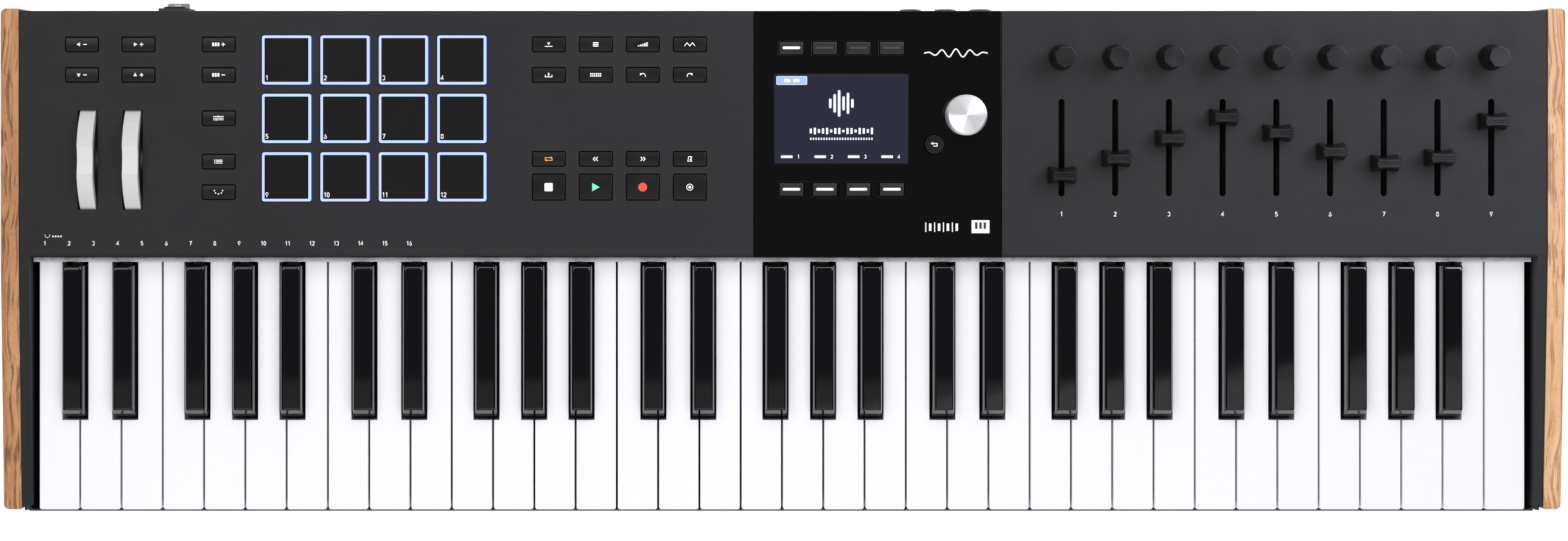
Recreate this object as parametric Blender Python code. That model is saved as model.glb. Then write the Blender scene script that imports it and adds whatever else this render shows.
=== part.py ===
"""Sixty-one-key controller keyboard with pads, buttons, knobs, faders, wheels and a display.

Metres. +X runs along the keys towards the high notes, +Y towards the rear and +Z up. The origin is the
middle of the footprint, on the surface that the instrument stands on.
"""

import math

import bmesh
import bpy
from mathutils import Matrix, Vector

# Clearances
GAP = 0.0003
SLOT_GAP = 0.00035

# Keys: 36 white keys on a 23.5 mm pitch
KEY_PITCH = 0.0235
KEY_GAP = 0.001
OCTAVES = 5
KEYS_LEFT = -18 * KEY_PITCH
OCTAVE_WIDTH = 7 * KEY_PITCH
WHITE_TOP = 0.041
WHITE_BOTTOM = 0.026
WHITE_FRONT = -0.1430
WHITE_REAR = -0.0010
NOTCH_FRONT = -0.0920
NOTCH_WIDTH = 0.0146
KEY_WALL = 0.0018
BLACK_TOP = 0.0515
BLACK_BOTTOM = 0.0300
BLACK_FRONT = -0.0900
BLACK_TOP_FRONT = -0.0850
BLACK_REAR = -0.0035
BLACK_BASE_WIDTH = 0.0126
BLACK_TOP_WIDTH = 0.0103
# Each sharp: the boundary that it straddles, in white keys from the octave's C, and its offset from it
SHARPS = ((1, -0.0027), (2, 0.0022), (4, -0.0037), (5, -0.0001), (6, 0.0034))

# Pivots of the keys
PIVOT_Y = 0.0110
RAIL_HALF_DEPTH = 0.0045
RAIL_HEIGHT = 0.0030
RAIL_BOTTOMS = {"c_e_g_b": 0.0220, "d_f_a": 0.0262, "sharps": 0.0304}
TAIL_HALF_WIDTH = 0.0035
PIN_RADIUS = 0.0012
PIN_HOLE_RADIUS = 0.00145
PIN_LENGTH = 0.0009
RIB_HALF = 0.0013
FRAME_REAR = 0.0172

# Case
FOOT_HEIGHT = 0.004
FLOOR_THICKNESS = 0.002
CASE_HALF = 0.4312
CASE_WALL = 0.0018
REAR_Y = 0.1400
LIP_FRONT = -0.1454
LIP_THICKNESS = 0.0014
LIP_TOP = 0.0280
ARM_BOTTOM = 0.0405

# Top panel
PANEL_TOP = 0.0550
PANEL_THICKNESS = 0.0015
PANEL_FRONT = 0.0008
FOLD_BOTTOM = 0.0455
FOLD_THICKNESS = 0.0015
ARM_WIDTH = 0.0054
ARM_REAR_TOP = 0.0545
ARM_FRONT_TOP = 0.0460
ARM_FRONT = -0.1400
ARM_REAR = 0.0048

# Cheeks
CHEEK_OUTER = 0.4422
CHEEK_INNER = 0.4315
CHEEK_FRONT = -0.1422
CHEEK_REAR = 0.1414
CHEEK_BOTTOM = 0.0050
CHEEK_TOP = 0.0560
CHEEK_FRONT_TOP = 0.0470
CHEEK_CORNER = 0.0035

# Gloss centre panel and display
CENTRE_LEFT = -0.0165
CENTRE_RIGHT = 0.1231
DISPLAY_MIDDLE = (0.03285, 0.07915)
DISPLAY_SIZE = (0.0758, 0.0505)

# Buttons: middle of each and size of its hole
BUTTON_SIZE = (0.0190, 0.0087)
TALL_BUTTON_SIZE = (0.0190, 0.0150)
SCREEN_BUTTON_SIZE = (0.0144, 0.0082)
UPPER_ROWS = (0.1211, 0.1039)
LEFT_COLUMNS = (-0.39595, -0.36405)
SIDE_COLUMN = -0.31875
SIDE_ROWS = (0.1211, 0.1039, 0.0795, 0.0550, 0.03775)
CENTRE_COLUMNS = tuple(-0.1324 + 0.02655 * i for i in range(4))
TRANSPORT_ROW = 0.0565
TALL_ROW = 0.0406
SCREEN_COLUMNS = tuple(0.0046 + 0.0189 * i for i in range(4))
SCREEN_ROWS = (0.1191, 0.0393)
BUTTON_TOP = PANEL_TOP + 0.0006
CARRIER_BOTTOM = 0.0490
CARRIER_THICKNESS = 0.0015

# Pads
PAD_HOLE = 0.0286
PAD_COLUMNS = tuple(-0.2803 + 0.03296 * i for i in range(4))
PAD_ROWS = tuple(0.1123 - 0.03295 * i for i in range(3))
PAD_TOP = PANEL_TOP + 0.0013

# Wheels
WHEEL_MIDDLES = (-0.3928, -0.3674)
WHEEL_SLOT = (0.0112, 0.0560)
WHEEL_Y = 0.0559
WHEEL_Z = 0.0300
WHEEL_RADIUS = 0.0360
WHEEL_WIDTH = 0.0090
WHEEL_HALF_ANGLE = 86
WHEEL_NOTCH_HALF_ANGLE = 13.5
WHEEL_NOTCH_DEPTH = 0.0024
AXLE_RADIUS = 0.0025
AXLE_HOLE_RADIUS = 0.0028

# Knobs, faders and encoder
CHANNEL_XS = tuple(0.1571 + 0.03033 * i for i in range(9))
KNOB_Y = 0.1138
KNOB_TOP = 0.0730
KNOB_HOLE_RADIUS = 0.0035
KNOB_TURNS = (10, 33, 2, 20, 41, 14, 28, 6, 37)
FADER_SLOT = (0.0032, 0.0547)
FADER_SLOT_Y = 0.06285
FADER_TOP = 0.0690
FADER_YS = (0.0474, 0.0568, 0.0682, 0.0800, 0.0712, 0.0607, 0.0542, 0.0573, 0.0778)
ENCODER_MIDDLE = (0.1025, 0.0813)
BACK_MIDDLE = (0.0853, 0.0647)

# Rear switch and connectors
SWITCH_X = -0.3461
SWITCH_Z = 0.0290
SWITCH_PIVOT_Y = 0.1412
SWITCH_HALF_WIDTH = 0.0061
SWITCH_HALF_HEIGHT = 0.0090
SWITCH_LEAN = 8
BEZEL_HALF = (0.00875, 0.0120)
BEZEL_DEPTH = 0.0020
JACK_XS = (0.074, 0.094, 0.114)
JACK_Z = 0.0290
JACK_BARREL_RADIUS = 0.0046
JACK_BORE_RADIUS = 0.0033
MAIN_PORTS = (  # middle X, half width, half height, middle Z of each connector shell
    (-0.3150, 0.0050, 0.0055, 0.0215),
    (-0.2930, 0.0050, 0.0025, 0.0175),
    (-0.2600, 0.0095, 0.0095, 0.0255),
    (-0.2350, 0.0095, 0.0095, 0.0255),
)

MATERIALS = {
    "panel": ((0.042, 0.042, 0.046), 0.55, 0.6),
    "case": ((0.030, 0.030, 0.032), 0.60, 0.3),
    "gloss": ((0.006, 0.006, 0.007), 0.08, 0.0),
    "display": ((0.020, 0.022, 0.045), 0.15, 0.0),
    "wood": ((0.300, 0.120, 0.050), 0.50, 0.0),
    "white_key": ((0.850, 0.850, 0.830), 0.25, 0.0),
    "black_key": ((0.010, 0.010, 0.010), 0.15, 0.0),
    "button": ((0.016, 0.016, 0.017), 0.45, 0.0),
    "pad": ((0.015, 0.015, 0.016), 0.60, 0.0),
    "wheel": ((0.800, 0.800, 0.800), 0.40, 0.0),
    "knob": ((0.020, 0.020, 0.022), 0.35, 0.0),
    "silver": ((0.700, 0.700, 0.710), 0.25, 1.0),
    "rubber": ((0.015, 0.015, 0.015), 0.85, 0.0),
    "felt": ((0.450, 0.450, 0.450), 0.95, 0.0),
    "board": ((0.010, 0.110, 0.050), 0.50, 0.0),
    "frame": ((0.080, 0.080, 0.085), 0.55, 0.0),
}


def material(name):
    """The shared material of this name, made on first use."""
    if name in bpy.data.materials:
        return bpy.data.materials[name]
    made = bpy.data.materials.new(name)
    made.use_nodes = True
    shader = made.node_tree.nodes["Principled BSDF"]
    colour, roughness, metallic = MATERIALS[name]
    shader.inputs["Base Color"].default_value = (*colour, 1)
    shader.inputs["Roughness"].default_value = roughness
    shader.inputs["Metallic"].default_value = metallic
    made.diffuse_color = (*colour, 1)
    return made


# Mesh building


def loft(bm, rings):
    """A closed skin through rings of equally many points, with both ends capped."""
    rows = [[bm.verts.new(point) for point in ring] for ring in rings]
    count = len(rows[0])
    for lower, upper in zip(rows, rows[1:]):
        for i in range(count):
            j = (i + 1) % count
            bm.faces.new((lower[i], lower[j], upper[j], upper[i]))
    bm.faces.new(rows[0][::-1])
    bm.faces.new(rows[-1])


def box(bm, low, high):
    """An axis-aligned box from its lowest to its highest corner."""
    loft(bm, [rectangle(low, high, z) for z in (low[2], high[2])])


def rectangle(low, high, z):
    """The four corners of a rectangle at height z, counter-clockwise."""
    return [(low[0], low[1], z), (high[0], low[1], z), (high[0], high[1], z), (low[0], high[1], z)]


def slab(bm, middle, size, bottom, top, shrink=0.0):
    """A box given by its middle and size in plan, made smaller on every side by shrink."""
    half = (size[0] / 2 - shrink, size[1] / 2 - shrink)
    low = (middle[0] - half[0], middle[1] - half[1], bottom)
    high = (middle[0] + half[0], middle[1] + half[1], top)
    box(bm, low, high)


def side_prism(bm, outline, left, right):
    """An outline of (y, z) points carried along X."""
    loft(bm, [[(x, y, z) for y, z in outline] for x in (left, right)])


def plan_prism(bm, outline, bottom, top):
    """An outline of (x, y) points carried along Z."""
    loft(bm, [[(x, y, z) for x, y in outline] for z in (bottom, top)])


def circle(radius, sides, turn=0.0):
    """Points of a regular polygon, counter-clockwise."""
    angles = [turn + 2 * math.pi * i / sides for i in range(sides)]
    return [(radius * math.cos(a), radius * math.sin(a)) for a in angles]


def post(bm, middle, radius, sides, bottom, top):
    """An upright cylinder."""
    outline = [(middle[0] + x, middle[1] + y) for x, y in circle(radius, sides)]
    plan_prism(bm, outline, bottom, top)


def rod_x(bm, y, z, radius, sides, left, right):
    """A cylinder along X."""
    side_prism(bm, [(y + a, z + b) for a, b in circle(radius, sides)], left, right)


def rod_y(bm, x, z, radius, sides, front, rear):
    """A cylinder along Y."""
    loft(bm, [[(x + a, y, z + b) for a, b in circle(radius, sides)] for y in (front, rear)])


def turned(bm, middle, profile, sides):
    """A turned solid through (radius, z) pairs from the bottom up."""
    rings = []
    for radius, z in profile:
        rings.append([(middle[0] + x, middle[1] + y, z) for x, y in circle(radius, sides)])
    loft(bm, rings)


def make_object(name, bm, slot, origin=(0, 0, 0), smooth=False):
    """An object from a bmesh in world coordinates, with its origin where it's asked for."""
    bmesh.ops.recalc_face_normals(bm, faces=bm.faces)
    bmesh.ops.transform(bm, matrix=Matrix.Translation(-Vector(origin)), verts=bm.verts)
    mesh = bpy.data.meshes.new(name)
    bm.to_mesh(mesh)
    bm.free()
    if smooth:
        mesh.shade_smooth()
        mesh.set_sharp_from_angle(angle=math.radians(35))
    made = bpy.data.objects.new(name, mesh)
    made.location = origin
    bpy.context.scene.collection.objects.link(made)
    mesh.materials.append(material(slot))
    return made


def combine(target, bm, operation):
    """Joins the shapes in bm to the target, or cuts them from it."""
    helper = make_object(f"{target.name}_{operation.lower()}", bm, "frame")
    helper.hide_render = True
    helper.display_type = "WIRE"
    modifier = target.modifiers.new(operation.title(), "BOOLEAN")
    modifier.operation = operation
    modifier.solver = "EXACT"
    modifier.use_self = True
    modifier.object = helper


# Key bed


def white_span(index):
    """Left and right side of a white key's wide front part."""
    left = KEYS_LEFT + index * KEY_PITCH
    return left + KEY_GAP / 2, left + KEY_PITCH - KEY_GAP / 2


def sharp_middle(octave, sharp):
    """X of a black key's middle line."""
    boundary, offset = SHARPS[sharp]
    return KEYS_LEFT + octave * OCTAVE_WIDTH + boundary * KEY_PITCH + offset


def narrow_span(index):
    """Left and right side of a white key's rear part, between the black keys."""
    left, right = white_span(index)
    for octave in range(OCTAVES):
        for sharp in range(len(SHARPS)):
            middle = sharp_middle(octave, sharp)
            if left < middle - NOTCH_WIDTH / 2 < right:
                right = middle - NOTCH_WIDTH / 2
            if left < middle + NOTCH_WIDTH / 2 < right:
                left = middle + NOTCH_WIDTH / 2
    return left, right


def add_white_key(solid, hollow, index, rail_bottom):
    """One white key: a wide front, a narrow rear and a tail down to its rail, hollow from below."""
    left, right = white_span(index)
    back_left, back_right = narrow_span(index)
    outline = [(left, WHITE_FRONT), (right, WHITE_FRONT), (right, NOTCH_FRONT)]
    if back_right < right:
        outline.append((back_right, NOTCH_FRONT))
    outline += [(back_right, WHITE_REAR), (back_left, WHITE_REAR)]
    if back_left > left:
        outline.append((back_left, NOTCH_FRONT))
    outline.append((left, NOTCH_FRONT))
    plan_prism(solid, outline, WHITE_BOTTOM, WHITE_TOP)
    wall = KEY_WALL
    roof = WHITE_TOP - wall
    below = WHITE_BOTTOM - 0.001
    box(hollow, (left + wall, WHITE_FRONT + wall, below), (right - wall, NOTCH_FRONT - wall, roof))
    rear_low = (back_left + wall, NOTCH_FRONT - wall - 0.001, below)
    box(hollow, rear_low, (back_right - wall, WHITE_REAR - wall, roof))
    middle = (back_left + back_right) / 2
    low, high = middle - TAIL_HALF_WIDTH, middle + TAIL_HALF_WIDTH
    lug_front = WHITE_REAR - 0.001
    lug_rear = WHITE_REAR + 0.002
    rail_top = rail_bottom + RAIL_HEIGHT
    side = [(lug_front, rail_bottom), (PIVOT_Y, rail_bottom), (PIVOT_Y, rail_top)]
    side += [(lug_rear, rail_top), (lug_rear, WHITE_BOTTOM + 0.006), (lug_front, WHITE_BOTTOM + 0.006)]
    side_prism(solid, side, low, high)


def add_black_key(solid, hollow, middle, rail_bottom):
    """One black key: tapered sides, a sloping front and a tail to its rail, hollow from below."""
    base, top = BLACK_BASE_WIDTH / 2, BLACK_TOP_WIDTH / 2
    shoulder = BLACK_TOP - 0.0012
    rings = [
        rectangle((middle - base, BLACK_FRONT), (middle + base, BLACK_REAR), BLACK_BOTTOM),
        rectangle((middle - base, BLACK_FRONT), (middle + base, BLACK_REAR), WHITE_TOP),
        rectangle((middle - top - 0.0004, BLACK_TOP_FRONT - 0.0006), (middle + top + 0.0004, BLACK_REAR), shoulder),
        rectangle((middle - top, BLACK_TOP_FRONT + 0.001), (middle + top, BLACK_REAR - 0.0008), BLACK_TOP),
    ]
    loft(solid, rings)
    wall = KEY_WALL
    low = (middle - top + wall, BLACK_TOP_FRONT + wall, BLACK_BOTTOM - 0.001)
    box(hollow, low, (middle + top - wall, BLACK_REAR - wall - 0.001, BLACK_TOP - 2 * wall))
    tail_low = (middle - TAIL_HALF_WIDTH, BLACK_REAR - 0.001, rail_bottom)
    box(solid, tail_low, (middle + TAIL_HALF_WIDTH, PIVOT_Y, rail_bottom + RAIL_HEIGHT))


def make_comb(octave, group):
    """The keys of one octave that share a rail, with the rail's two pivot pins."""
    rail_bottom = RAIL_BOTTOMS[group]
    rail_middle = rail_bottom + RAIL_HEIGHT / 2
    left = KEYS_LEFT + octave * OCTAVE_WIDTH
    right = left + OCTAVE_WIDTH
    if octave == OCTAVES - 1:
        right += KEY_PITCH
    rail_left = left + RIB_HALF + SLOT_GAP
    rail_right = right - RIB_HALF - SLOT_GAP
    rail = bmesh.new()
    rail_low = (rail_left, PIVOT_Y - RAIL_HALF_DEPTH, rail_bottom)
    box(rail, rail_low, (rail_right, PIVOT_Y + RAIL_HALF_DEPTH, rail_bottom + RAIL_HEIGHT))
    slot = "black_key" if group == "sharps" else "white_key"
    name = f"octave_{octave + 1}_keys_{group}"
    comb = make_object(name, rail, slot, origin=((left + right) / 2, PIVOT_Y, rail_middle))
    solid, hollow = bmesh.new(), bmesh.new()
    rod_x(solid, PIVOT_Y, rail_middle, PIN_RADIUS, 8, rail_left - PIN_LENGTH, rail_left + 0.002)
    rod_x(solid, PIVOT_Y, rail_middle, PIN_RADIUS, 8, rail_right - 0.002, rail_right + PIN_LENGTH)
    if group == "sharps":
        for sharp in range(len(SHARPS)):
            add_black_key(solid, hollow, sharp_middle(octave, sharp), rail_bottom)
    else:
        steps = [0, 2, 4, 6] if group == "c_e_g_b" else [1, 3, 5]
        if octave == OCTAVES - 1 and group == "c_e_g_b":
            steps.append(7)
        for step in steps:
            add_white_key(solid, hollow, 7 * octave + step, rail_bottom)
    combine(comb, solid, "UNION")
    combine(comb, hollow, "DIFFERENCE")


def make_key_frame():
    """The plate below the keys, its front guide rail, and the ribs that hold the pivot pins."""
    plate_bottom = FOOT_HEIGHT + FLOOR_THICKNESS + 0.0005
    plate_top = plate_bottom + 0.002
    plate = bmesh.new()
    box(plate, (-0.4250, -0.1400, plate_bottom), (0.4250, FRAME_REAR, plate_top))
    frame = make_object("key_frame", plate, "frame")
    solid, holes = bmesh.new(), bmesh.new()
    box(solid, (-0.4220, -0.1330, plate_top - 0.001), (0.4220, -0.1310, 0.0145))
    box(solid, (-0.4245, FRAME_REAR - 0.0012, plate_top - 0.001), (0.4245, FRAME_REAR, 0.0350))
    for octave in range(OCTAVES + 1):
        middle = KEYS_LEFT + octave * OCTAVE_WIDTH
        if octave == OCTAVES:
            middle += KEY_PITCH
        rib_low = (middle - RIB_HALF, PIVOT_Y - 0.0060, plate_top - 0.001)
        box(solid, rib_low, (middle + RIB_HALF, FRAME_REAR - 0.0005, 0.0360))
        for rail_bottom in RAIL_BOTTOMS.values():
            rail_middle = rail_bottom + RAIL_HEIGHT / 2
            reach = RIB_HALF + 0.001
            rod_x(holes, PIVOT_Y, rail_middle, PIN_HOLE_RADIUS, 8, middle - reach, middle + reach)
    combine(frame, solid, "UNION")
    combine(frame, holes, "DIFFERENCE")


def make_contact_board():
    """The board below the keys with the rubber strip that they press."""
    bm = bmesh.new()
    side = [(-0.0500, 0.0105), (-0.0200, 0.0105), (-0.0200, 0.0121), (-0.0300, 0.0121)]
    side += [(-0.0310, 0.0150), (-0.0390, 0.0150), (-0.0400, 0.0121), (-0.0500, 0.0121)]
    side_prism(bm, side, -0.4200, 0.4200)
    make_object("key_contact_board", bm, "board")


def make_felt():
    bm = bmesh.new()
    box(bm, (-0.4252, -0.0022, 0.0432), (0.4252, 0.0060, 0.0450))
    make_object("felt_strip", bm, "felt")


# Case


def make_bottom_case():
    """The tray: floor, side walls, rear wall with its openings, and the low lip in front of the keys."""
    wall_top = PANEL_TOP - PANEL_THICKNESS - GAP
    arm_gap = ARM_BOTTOM - GAP
    side = [(LIP_FRONT, FOOT_HEIGHT), (REAR_Y, FOOT_HEIGHT), (REAR_Y, wall_top)]
    side += [(ARM_REAR + GAP, wall_top), (ARM_REAR + GAP, arm_gap), (LIP_FRONT, arm_gap)]
    bm = bmesh.new()
    side_prism(bm, side, -CASE_HALF, CASE_HALF)
    case = make_object("bottom_case", bm, "case")
    inside = bmesh.new()
    lip_rear = LIP_FRONT + LIP_THICKNESS
    floor_top = FOOT_HEIGHT + FLOOR_THICKNESS
    inner = CASE_HALF - CASE_WALL
    box(inside, (-inner, lip_rear, floor_top), (inner, REAR_Y - 0.002, 0.1))
    combine(case, inside, "DIFFERENCE")
    lip = bmesh.new()
    box(lip, (-1, LIP_FRONT - 0.01, LIP_TOP), (1, lip_rear + 0.0005, 0.1))
    combine(case, lip, "DIFFERENCE")
    bezel = bmesh.new()
    low = (SWITCH_X - BEZEL_HALF[0], REAR_Y - 0.001, SWITCH_Z - BEZEL_HALF[1])
    box(bezel, low, (SWITCH_X + BEZEL_HALF[0], REAR_Y + BEZEL_DEPTH, SWITCH_Z + BEZEL_HALF[1]))
    combine(case, bezel, "UNION")
    holes = bmesh.new()
    front, rear = REAR_Y - 0.004, REAR_Y + 0.004
    half_width = SWITCH_HALF_WIDTH + 0.0004
    half_height = SWITCH_HALF_HEIGHT + 0.0008
    low = (SWITCH_X - half_width, front, SWITCH_Z - half_height)
    box(holes, low, (SWITCH_X + half_width, rear, SWITCH_Z + half_height))
    for x in JACK_XS:
        rod_y(holes, x, JACK_Z, JACK_BARREL_RADIUS + 0.0004, 16, front, rear)
    for x, half_width, half_height, z in MAIN_PORTS:
        low = (x - half_width - 0.0004, front, z - half_height - 0.0004)
        box(holes, low, (x + half_width + 0.0004, rear, z + half_height + 0.0004))
    combine(case, holes, "DIFFERENCE")


def panel_holes():
    """Middle and size of every rectangular hole in the metal panel."""
    found = [((x, y), BUTTON_SIZE) for x in LEFT_COLUMNS for y in UPPER_ROWS]
    found += [((SIDE_COLUMN, y), BUTTON_SIZE) for y in SIDE_ROWS]
    found += [((x, y), BUTTON_SIZE) for x in CENTRE_COLUMNS for y in (*UPPER_ROWS, TRANSPORT_ROW)]
    found += [((x, TALL_ROW), TALL_BUTTON_SIZE) for x in CENTRE_COLUMNS]
    found += [((x, y), (PAD_HOLE, PAD_HOLE)) for x in PAD_COLUMNS for y in PAD_ROWS]
    found += [((x, WHEEL_Y), WHEEL_SLOT) for x in WHEEL_MIDDLES]
    found += [((x, FADER_SLOT_Y), FADER_SLOT) for x in CHANNEL_XS]
    return found


def make_top_panel():
    """The folded metal sheet, with an arm along each end of the keys."""
    under = PANEL_TOP - PANEL_THICKNESS
    bm = bmesh.new()
    box(bm, (-CASE_HALF, PANEL_FRONT, under), (CASE_HALF, REAR_Y, PANEL_TOP))
    panel = make_object("top_panel", bm, "panel")
    holes = bmesh.new()
    for middle, size in panel_holes():
        slab(holes, middle, size, under - 0.002, PANEL_TOP + 0.002)
    for x in CHANNEL_XS:
        post(holes, (x, KNOB_Y), KNOB_HOLE_RADIUS, 12, under - 0.002, PANEL_TOP + 0.002)
    low = (CENTRE_LEFT - GAP, PANEL_FRONT - 0.01, under - 0.002)
    box(holes, low, (CENTRE_RIGHT + GAP, REAR_Y + 0.01, PANEL_TOP + 0.002))
    combine(panel, holes, "DIFFERENCE")
    solid = bmesh.new()
    fold_top = under - GAP
    reach = CASE_HALF - ARM_WIDTH
    front_low = (-reach - 0.001, PANEL_FRONT, FOLD_BOTTOM)
    box(solid, front_low, (reach + 0.001, PANEL_FRONT + FOLD_THICKNESS, fold_top))
    box(solid, (-0.4280, 0.1350, 0.0470), (0.4280, 0.1365, fold_top))
    for left, right in ((-0.4280, CENTRE_LEFT - 0.002), (CENTRE_RIGHT + 0.002, 0.4280)):
        box(solid, (left, 0.1350, fold_top - 0.001), (right, 0.1365, under + 0.0005))
    for left, right in ((-reach, CENTRE_LEFT - 0.002), (CENTRE_RIGHT + 0.002, reach)):
        low = (left, PANEL_FRONT, fold_top - 0.001)
        box(solid, low, (right, PANEL_FRONT + FOLD_THICKNESS, under + 0.0005))
    arm = [(ARM_FRONT, ARM_BOTTOM), (ARM_REAR, ARM_BOTTOM), (ARM_REAR, under + 0.0005)]
    arm += [(PANEL_FRONT, ARM_REAR_TOP), (ARM_FRONT, ARM_FRONT_TOP)]
    for left, right in ((-CASE_HALF, -reach), (reach, CASE_HALF)):
        side_prism(solid, arm, left, right)
    combine(panel, solid, "UNION")


def make_centre_panel():
    """The gloss plate with its display window and its round and square holes."""
    bottom = PANEL_TOP - PANEL_THICKNESS
    bm = bmesh.new()
    box(bm, (CENTRE_LEFT, PANEL_FRONT, bottom), (CENTRE_RIGHT, REAR_Y, PANEL_TOP))
    plate = make_object("centre_panel", bm, "gloss")
    holes = bmesh.new()
    low, high = bottom - 0.002, PANEL_TOP + 0.002
    slab(holes, DISPLAY_MIDDLE, DISPLAY_SIZE, low, high)
    for x in SCREEN_COLUMNS:
        for y in SCREEN_ROWS:
            slab(holes, (x, y), SCREEN_BUTTON_SIZE, low, high)
    post(holes, ENCODER_MIDDLE, 0.0040, 16, low, high)
    post(holes, BACK_MIDDLE, 0.0058, 24, low, high)
    combine(plate, holes, "DIFFERENCE")


def make_cheek(name, inner, outer):
    """A wooden end cheek: level beside the panel, then sloping down along the keys."""
    outline = [(CHEEK_FRONT, CHEEK_BOTTOM), (CHEEK_REAR, CHEEK_BOTTOM), (CHEEK_REAR, CHEEK_TOP)]
    outline += [(PANEL_FRONT, CHEEK_TOP), (CHEEK_FRONT, CHEEK_FRONT_TOP)]
    bm = bmesh.new()
    side_prism(bm, outline, min(inner, outer), max(inner, outer))
    corners = [
        edge
        for edge in bm.edges
        if all(abs(v.co.x - outer) < 1e-6 for v in edge.verts)
        and abs(edge.verts[0].co.y - edge.verts[1].co.y) < 1e-6
    ]
    bmesh.ops.bevel(bm, geom=corners, offset=CHEEK_CORNER, segments=4, affect="EDGES", profile=0.5)
    make_object(name, bm, "wood")


def make_foot(name, x, y):
    top = FOOT_HEIGHT - GAP
    bm = bmesh.new()
    turned(bm, (x, y), ((0.0080, 0.0), (0.0090, 0.0008), (0.0090, top)), 20)
    make_object(name, bm, "rubber", smooth=True)


# Buttons and pads


def add_caps(solid, places, size, top):
    for place in places:
        slab(solid, place, size, CARRIER_BOTTOM + 0.0005, top, shrink=SLOT_GAP)


def make_left_buttons():
    """Nine caps on one L-shaped carrier beside the wheels."""
    bm = bmesh.new()
    top = CARRIER_BOTTOM + CARRIER_THICKNESS
    outline = [(-0.4075, 0.0980), (-0.3300, 0.0980), (-0.3300, 0.0320), (-0.3075, 0.0320)]
    outline += [(-0.3075, 0.1270), (-0.4075, 0.1270)]
    plan_prism(bm, outline, CARRIER_BOTTOM, top)
    carrier = make_object("left_buttons", bm, "button")
    caps = bmesh.new()
    add_caps(caps, [(x, y) for x in LEFT_COLUMNS for y in UPPER_ROWS], BUTTON_SIZE, BUTTON_TOP)
    add_caps(caps, [(SIDE_COLUMN, y) for y in SIDE_ROWS], BUTTON_SIZE, BUTTON_TOP)
    combine(carrier, caps, "UNION")


def make_centre_buttons():
    """The function buttons and the transport buttons, each group on its own carrier."""
    top = CARRIER_BOTTOM + CARRIER_THICKNESS
    left, right = CENTRE_COLUMNS[0] - 0.0115, CENTRE_COLUMNS[-1] + 0.0115
    bm = bmesh.new()
    box(bm, (left, 0.0980, CARRIER_BOTTOM), (right, 0.1270, top))
    carrier = make_object("function_buttons", bm, "button")
    caps = bmesh.new()
    add_caps(caps, [(x, y) for x in CENTRE_COLUMNS for y in UPPER_ROWS], BUTTON_SIZE, BUTTON_TOP)
    combine(carrier, caps, "UNION")
    bm = bmesh.new()
    box(bm, (left, 0.0310, CARRIER_BOTTOM), (right, 0.0630, top))
    carrier = make_object("transport_buttons", bm, "button")
    caps = bmesh.new()
    add_caps(caps, [(x, TRANSPORT_ROW) for x in CENTRE_COLUMNS], BUTTON_SIZE, BUTTON_TOP)
    add_caps(caps, [(x, TALL_ROW) for x in CENTRE_COLUMNS], TALL_BUTTON_SIZE, BUTTON_TOP)
    combine(carrier, caps, "UNION")


def make_screen_buttons():
    """Eight caps on a frame that runs round the display module."""
    top = CARRIER_BOTTOM + CARRIER_THICKNESS
    bm = bmesh.new()
    box(bm, (-0.0135, 0.0330, CARRIER_BOTTOM), (0.0780, 0.1260, top))
    carrier = make_object("screen_buttons", bm, "button")
    window = bmesh.new()
    box(window, (-0.0090, 0.0495, CARRIER_BOTTOM - 0.001), (0.0742, 0.1085, top + 0.001))
    combine(carrier, window, "DIFFERENCE")
    caps = bmesh.new()
    places = [(x, y) for x in SCREEN_COLUMNS for y in SCREEN_ROWS]
    add_caps(caps, places, SCREEN_BUTTON_SIZE, PANEL_TOP + 0.0004)
    combine(carrier, caps, "UNION")


def make_pads():
    """Twelve pads on one mat."""
    bm = bmesh.new()
    low = (PAD_COLUMNS[0] - 0.0175, PAD_ROWS[-1] - 0.0175, 0.0475)
    box(bm, low, (PAD_COLUMNS[-1] + 0.0175, PAD_ROWS[0] + 0.0175, 0.0495))
    mat = make_object("pad_mat", bm, "pad")
    pads = bmesh.new()
    for x in PAD_COLUMNS:
        for y in PAD_ROWS:
            slab(pads, (x, y), (PAD_HOLE, PAD_HOLE), 0.0485, PAD_TOP, shrink=SLOT_GAP)
    combine(mat, pads, "UNION")


def make_back_button():
    x, y = BACK_MIDDLE
    bm = bmesh.new()
    profile = ((0.0065, 0.0490), (0.0065, 0.0505), (0.0055, 0.0505), (0.0055, 0.0558), (0.0051, 0.0562))
    turned(bm, (x, y), profile, 24)
    make_object("back_button", bm, "button", origin=(x, y, PANEL_TOP), smooth=True)


# Wheels


def arc_points(radius, start, stop, steps):
    """(y, z) points on an arc about the wheel axle; angles in degrees from straight up."""
    points = []
    for i in range(steps + 1):
        angle = math.radians(start + (stop - start) * i / steps)
        points.append((WHEEL_Y + radius * math.sin(angle), WHEEL_Z + radius * math.cos(angle)))
    return points


def wheel_rim():
    """The rim's outer line, with the finger notch at its middle."""
    half, notch = WHEEL_HALF_ANGLE, WHEEL_NOTCH_HALF_ANGLE
    points = arc_points(WHEEL_RADIUS, -half, -notch, 10)
    steps = 6
    for i in range(1, steps):
        share = i / steps
        sink = WHEEL_NOTCH_DEPTH * math.sin(math.pi * share)
        points += arc_points(WHEEL_RADIUS - sink, notch * (2 * share - 1), 0, 1)[:1]
    return points + arc_points(WHEEL_RADIUS, notch, half, 10)


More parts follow.
